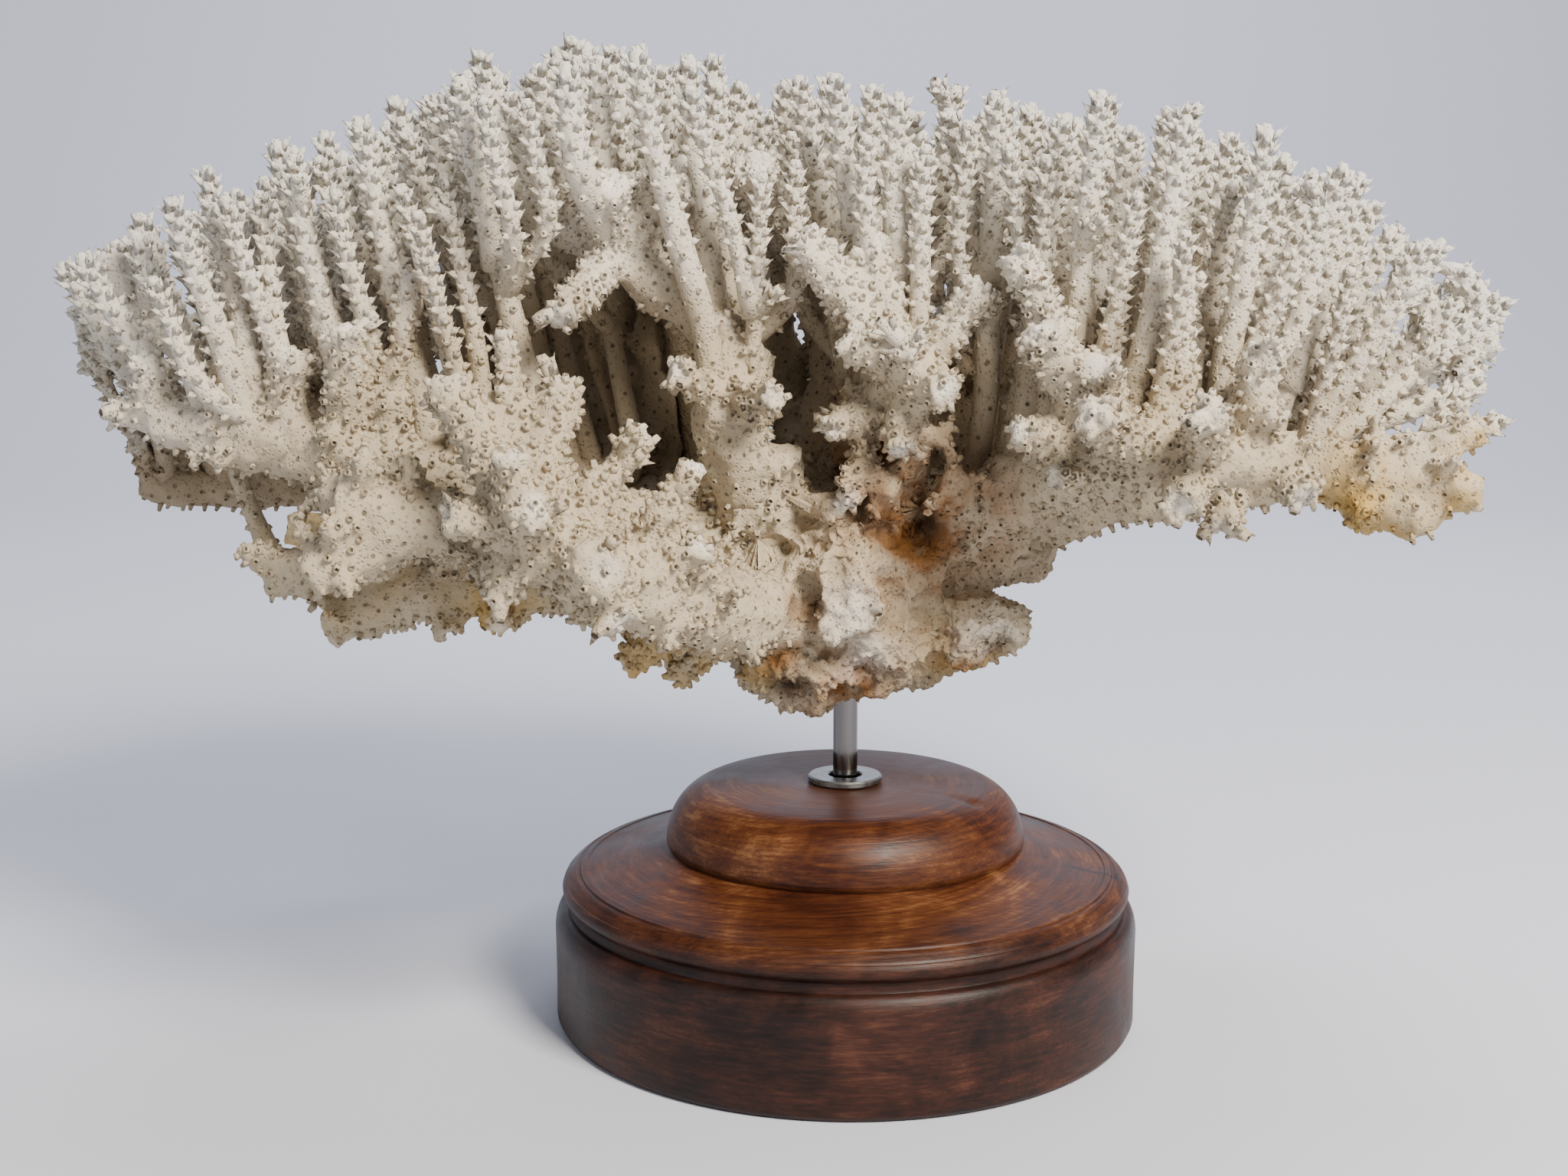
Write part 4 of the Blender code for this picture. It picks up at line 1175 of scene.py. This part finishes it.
def walk(shape, kind, distances):
    """Place, direction, sideways direction and core thickness at some distances along a finger."""
    points, radii = shape
    marks = np.cumsum([0.0] + [(b - a).length for a, b in zip(points, points[1:])])
    before = points[0] - (points[1] - points[0]).normalized() * LEAD
    after = points[-1] + (points[-1] - points[-2]).normalized() * LEAD
    longer = np.array([before, *points, after])
    longer_marks = np.array([-LEAD, *marks, marks[-1] + LEAD])
    hinge = (points[1] - points[0]).normalized().cross((points[-1] - points[-2]).normalized())
    if hinge.length < 0.05:
        hinge = (points[1] - points[0]).orthogonal()

    def place(d):
        bends = [np.stack([np.interp(d + shift, longer_marks, longer[:, k]) for k in range(3)], axis=1)
                 for shift in np.linspace(-BEND, BEND, 5)]
        return np.mean(bends, axis=0)

    straight = place(distances)
    crooks = np.array([noise.noise_vector(Vector(p) * 32)[:] for p in straight]) * CROOKS
    way = unit(place(distances + 2 * MM) - place(distances - 2 * MM))
    flare = 1 + (ROOT_FLARE - 1) * np.clip(1 - distances / FLARE_LENGTH, 0, 1)
    swell = np.array([1 + 0.16 * noise.noise(Vector(p) * 70) for p in straight])
    thick = np.interp(distances, marks, radii) * CORE_SHARE[kind] * flare * swell
    places = straight + crooks
    for k in range(2):
        low, high = (corner[k] for corner in CAD_BOX)
        places[:, k] = np.clip(places[:, k], low + thick + BOX_ROOM, high - thick - BOX_ROOM)
    return places, way, unit(np.cross(way, hinge)), thick


def finger_core(shape, kind):
    """Points and triangles of a closed stack of rings with a rounded end."""
    end = length_of(shape[0]) - END_CUP
    count = max(2, round(end / RING_STEP))
    places, way, aside, thick = walk(shape, kind, np.linspace(0, end, count + 1))
    thick[-1] *= 0.8
    front = np.cross(way, aside)
    rings = []
    for k in range(RING_SIDES):
        a = 2 * math.pi * k / RING_SIDES
        rings.append(places + thick[:, None] * (aside * math.cos(a) + front * math.sin(a)))
    ring_points = np.stack(rings, axis=1).reshape(-1, 3)
    points = np.vstack([ring_points, places[:1], places[-1:] + way[-1:] * ROUND_END])
    triangles = []
    first = len(points) - 2
    last = first - RING_SIDES
    for k in range(RING_SIDES):
        j = (k + 1) % RING_SIDES
        for i in range(0, last, RING_SIDES):
            above = i + RING_SIDES
            triangles += [(i + k, i + j, above + j), (i + k, above + j, above + k)]
        triangles += [(first, j, k), (first + 1, last + k, last + j)]
    return points, np.array(triangles)


def finger_cup_rows(shape, kind, number, first_turn):
    """Rows for a finger's cups: place, outward and growth directions, tip distance, kind, number."""
    marks = CUP_MARKS * (1.0 if kind == "finger" else 1.2)
    distances = length_of(shape[0]) - marks
    distances = distances[distances > 5 * MM]
    if not len(distances):
        return np.empty((0, CUP_ROW_WIDTH))
    places, way, aside, thick = walk(shape, kind, distances)
    angles = (first_turn + SPIRAL_TURN * np.arange(len(distances)))[:, None]
    out = aside * np.cos(angles) + np.cross(way, aside) * np.sin(angles)
    same = np.ones(len(distances))
    return np.column_stack([places + out * thick[:, None], out, way, length_of(shape[0]) - distances,
                            same * KINDS.index(kind), same * number])


def end_cup(shape):
    """A tube-shaped cup at the end of a finger, as a row of the same kind with a growth direction aside."""
    points, _ = shape
    run = (points[-1] - points[-2]).normalized()
    crook = noise.noise_vector(points[-1] * 32) * CROOKS
    return (*(points[-1] + crook - run * (END_CUP + 0.6 * MM)), *run, *run.orthogonal().normalized())


# %% [markdown]
# ## Colour of the skeleton
#
# The tips bleached to a greyish white. Lower down the stone is cream, and between the limbs it is a darker
# yellow-brown: partly the dust and dead matter that stay there, and partly painted shade, where limbs and
# fingers keep the light off each other. Fresh breaks are bright white. A few places have an ochre or rust
# stain. Each point gets these shares as named values, and the material mixes its colours by them.

# %% Stains and breaks: centre and radius in mm
OCHRE_SPOTS = [((-58, -50, 126), 26), ((-106, -56, 138), 20), ((-150, -62, 158), 22), ((150, -50, 168), 24),
               ((186, -50, 195), 12), ((184, -55, 176), 20), ((34, -26, 126), 14), ((-30, -40, 122), 12),
               ((112, -70, 186), 12)]
RUST_SPOTS = [((22, -38, 164), 34), ((0, -34, 116), 20), ((36, -40, 126), 14), ((-12, -50, 143), 9),
              ((10, -20, 186), 24), ((-24, -42, 128), 12)]
WHITE_SPOTS = [((-1, -58, 142), 11), ((42, -40, 136), 13), ((4, -44, 124), 10)]


def spots_share(places, spots):
    """How strongly each place lies in any of the spots, from 0 to 1."""
    share = np.zeros(len(places))
    for centre, reach in spots:
        away = np.linalg.norm(places - np.array(centre) * MM, axis=1) / (reach * MM)
        share = np.maximum(share, np.clip(1.25 - away, 0, 1))
    return share


def colour_shares(places):
    """The named colour values of each place."""
    depth = tip_height(places[:, 0], places[:, 1]) - places[:, 2]
    covered = fade(places[:, 1], -34, 2) * (1 - fade(places[:, 1], 92, 132))
    return {"depth": fade(depth, 0, 110),
            "ochre": spots_share(places, OCHRE_SPOTS),
            "rust": spots_share(places, RUST_SPOTS),
            # Deep in the crown and away from its front and back: partly dust, partly painted shade.
            "inner": 0.75 * covered * fade(depth, 30, 85),
            "hollow": spots_share(places, [(centre, reach * 0.8) for centre, reach, _ in HOLLOWS]),
            "fresh": spots_share(places, WHITE_SPOTS + [(end / MM, 4.5) for end in BROKEN_ENDS])}


# %% Coral material
coral, coral_shader, coral_place = new_material("bleached coral skeleton", 0.85)
coral_shader.inputs["Specular IOR Level"].default_value = 0.3


def share(name):
    """One of the named values that the points of the skeleton carry."""
    return add_node(coral, "Attribute", {"attribute_name": name}).outputs["Fac"]


# Patches of cleaner and duller stone are about 15 mm wide. Stains lie most in the duller ones.
patches = noise_at(coral, coral_place, 70, 5, Roughness=0.6)
dull = ranged(coral, patches, 0.34, 0.56, 0.15, 1.0)
# The skeleton is porous: its pores are about 0.3 mm wide, drawn here twice as wide and 1.3 mm apart so that
# they show. Their darker middles are painted shade in the holes.
pore_cells = add_node(coral, "TexVoronoi", Vector=coral_place, Scale=750).outputs["Distance"]
pore_height = ranged(coral, pore_cells, 0.12, 0.4)
stone = colour_ramp(coral, reckon(coral, "MULTIPLY_ADD", patches, 0.5, share("depth")),
                    [(0.22, "#cfcac0"), (0.5, "#d2cbbc"), (0.78, "#cac0ad"), (1.0, "#b3a58b")])
# The inner layer is partly dust and partly painted shade deep in the crown.
for layer_colour, amount in (("#85745b", share("inner")),
                             ("#b0904f", reckon(coral, "MULTIPLY", share("ochre"), dull)),
                             ("#7d501f", reckon(coral, "MULTIPLY", share("rust"), dull)),
                             ("#ece8de", reckon(coral, "MULTIPLY", share("fresh"), patches)),
                             # Painted shade: the trunk's hollows are coloured a dark brown.
                             ("#43301f", share("hollow")),
                             # Painted shade in the pores.
                             ("#6e5f49", ranged(coral, pore_height, 0.0, 0.6, 0.4, 0.0)),
                             # Painted shade in the mouths of the cups.
                             ("#4a3d2e", share("pit"))):
    stone = laid_over(coral, stone, linear(layer_colour), amount)
coral.node_tree.links.new(stone, coral_shader.inputs["Base Color"])
grains = noise_at(coral, coral_place, 420, 5, Roughness=0.7)
add_relief(coral, coral_shader, reckon(coral, "MULTIPLY_ADD", grains, 2.0, pore_height), 0.8, 0.45 * MM)


# %% [markdown]
# ## One piece for each limb
#
# A limb's piece holds its share of the skin, closed where it was parted from its neighbours, with its cups.
# It is built from arrays, because it has up to a hundred thousand triangles of one repeated shape.

# %% Parts of a piece
CUT_LIP = 2.5 * MM          # at a cut the skin turns in this far before it is closed
BOX_GAP = 0.05 * MM         # the pieces stay this far inside the CAD box


def skin_part(node_number):
    """Points, triangles and smooth marks of one node's share of the skin, closed at the cuts."""
    bm = skin_bm.copy()
    bm.faces.ensure_lookup_table()
    others = [bm.faces[i] for i in np.nonzero(face_node != node_number)[0]]
    bmesh.ops.delete(bm, geom=others, context="FACES")
    bm.normal_update()
    outside = set(bm.faces)
    for f in bm.faces:
        f.smooth = True
    rims = [e for e in bm.edges if e.is_boundary]
    turned_in = bmesh.ops.extrude_edge_only(bm, edges=rims)["geom"]
    for v in (v for v in turned_in if isinstance(v, bmesh.types.BMVert)):
        v.co -= next(e.other_vert(v) for e in v.link_edges if e not in turned_in).normal * CUT_LIP
    inner_rims = [e for e in turned_in if isinstance(e, bmesh.types.BMEdge)]
    lids = bmesh.ops.holes_fill(bm, edges=inner_rims, sides=0)
    bmesh.ops.poke(bm, faces=lids["faces"], center_mode="MEAN")
    for f in bm.faces:
        f.smooth = f in outside
    bmesh.ops.triangulate(bm, faces=bm.faces)
    bm.verts.index_update()
    points = np.array([v.co[:] for v in bm.verts])
    triangles = np.array([[v.index for v in f.verts] for f in bm.faces])
    marks = [f.smooth for f in bm.faces]
    bm.free()
    return points, triangles, marks


def skin_cups(node_number):
    """The cups that stand on one node's share of the skin, and how dark their pits are."""
    mine = cups[face_node[cups] == node_number]
    mine = mine[~buried(centres[mine], np.zeros(len(mine)), [COLUMN_TREE])]
    luck = np.array([dice.random() for _ in mine])
    along = np.abs((normals[mine] * grow_way[mine]).sum(axis=1))
    depth = tip_height(centres[mine][:, 0], centres[mine][:, 1]) - centres[mine][:, 2]
    *sizes, pit = cup_sizes(face_kind[mine], to_tip[mine], depth, normals[mine][:, 2], along, luck)
    broken = (face_kind[mine] == KINDS.index("stub")) & (along > 0.8)
    in_patch = np.array([noise.noise(Vector(place) * 60) > -0.05 for place in centres[mine]], bool)
    keep = ~broken & (in_patch | (face_kind[mine] != KINDS.index("trunk")))
    return cup_points(centres[mine], normals[mine], grow_way[mine], *sizes)[keep], pit[keep]


def column_parts(limb):
    """Points and triangles of the fingers of one limb, with their cups and how dark the pits are."""
    cores = []
    rows = []
    ends = []
    before = NODE_NAMES[:NODE_NAMES.index(limb)]
    number = sum(len(colony[name]) for name in before)
    for shape, kind in colony.get(limb, []):
        number += 1
        if kind in COLUMNS:
            cores.append(finger_core(shape, kind))
            rows.append(finger_cup_rows(shape, kind, number, dice.uniform(0, 6.28)))
            ends.append(end_cup(shape))
    if not cores:
        return [], np.empty((0, 2 * CUP_SIDES + 1, 3)), np.empty(0)
    rows = np.vstack(rows)
    rows = rows[~buried(rows[:, :3] + rows[:, 3:6] * MM, rows[:, 11], [COLUMN_TREE, LIMB_TREE])]
    luck = np.array([dice.random() for _ in rows])
    *sizes, pit = cup_sizes(rows[:, 10], rows[:, 9], rows[:, 9], rows[:, 5], luck * 0, luck)
    made = cup_points(rows[:, :3], rows[:, 3:6], rows[:, 6:9], *sizes)
    ends = np.array(ends)
    end_sizes = [np.full(len(ends), value) for value in END_CUP_SIZES]
    tops = cup_points(ends[:, :3], ends[:, 3:6], ends[:, 6:9], *end_sizes)
    return cores, np.vstack([made, tops]), np.concatenate([pit, np.full(len(ends), 0.8)])


# %% Joining the parts
def coral_piece(node_number):
    """Builds one node's skin, fingers and cups as one piece, and returns how many triangles it has."""
    node = NODE_NAMES[node_number]
    points, triangles, marks = skin_part(node_number)
    on_skin, skin_pit_shade = skin_cups(node_number)
    cores, on_columns, column_pit_shade = column_parts(node)
    bodies = [(points, triangles)] + cores
    starts = np.cumsum([0] + [len(body[0]) for body in bodies])
    low, high = (np.array(corner) for corner in CAD_BOX)
    made = np.vstack([on_skin, on_columns])
    inside = ((made > low) & (made < high)).all(axis=(1, 2))
    made = made[inside]
    cup_starts = starts[-1] + made.shape[1] * np.arange(len(made))
    cup_tris = (cup_starts[:, None, None] + CUP_TRIANGLES[None]).reshape(-1, 3)
    places = np.vstack([body[0] for body in bodies] + [made.reshape(-1, 3)])
    places = np.clip(places, low + BOX_GAP, high - BOX_GAP)
    all_tris = np.vstack([body[1] + start for body, start in zip(bodies, starts)] + [cup_tris])
    mesh = bpy.data.meshes.new(node + "_skeleton")
    mesh.vertices.add(len(places))
    mesh.vertices.foreach_set("co", places.ravel())
    mesh.loops.add(len(all_tris) * 3)
    mesh.loops.foreach_set("vertex_index", all_tris.ravel())
    mesh.polygons.add(len(all_tris))
    mesh.polygons.foreach_set("loop_start", np.arange(0, len(all_tris) * 3, 3))
    mesh.update(calc_edges=True)
    core_count = len(all_tris) - len(triangles) - len(cup_tris)
    mesh.polygons.foreach_set("use_smooth", marks + [True] * core_count + CUP_SMOOTH * len(made))
    for name, values in colour_shares(places).items():
        mesh.attributes.new(name, "FLOAT", "POINT").data.foreach_set("value", values)
    # How dark each face of a cup's mouth is painted: painted shade in the pits.
    pit_shade_share = np.outer(np.concatenate([skin_pit_shade, column_pit_shade])[inside], CUP_PIT_SHADE).ravel()
    pits = np.concatenate([np.zeros(len(all_tris) - len(cup_tris)), pit_shade_share])
    mesh.attributes.new("pit", "FLOAT", "FACE").data.foreach_set("value", pits)
    mesh.materials.append(coral)
    piece = add_piece(node + "_skeleton", mesh, node)
    print(piece.name, "has", len(made), "cups and", len(all_tris), "triangles")
    return len(all_tris)


coral_triangles = sum(coral_piece(number) for number in range(len(NODE_NAMES)))
print("triangles in the coral:", coral_triangles)
skin_bm.free()
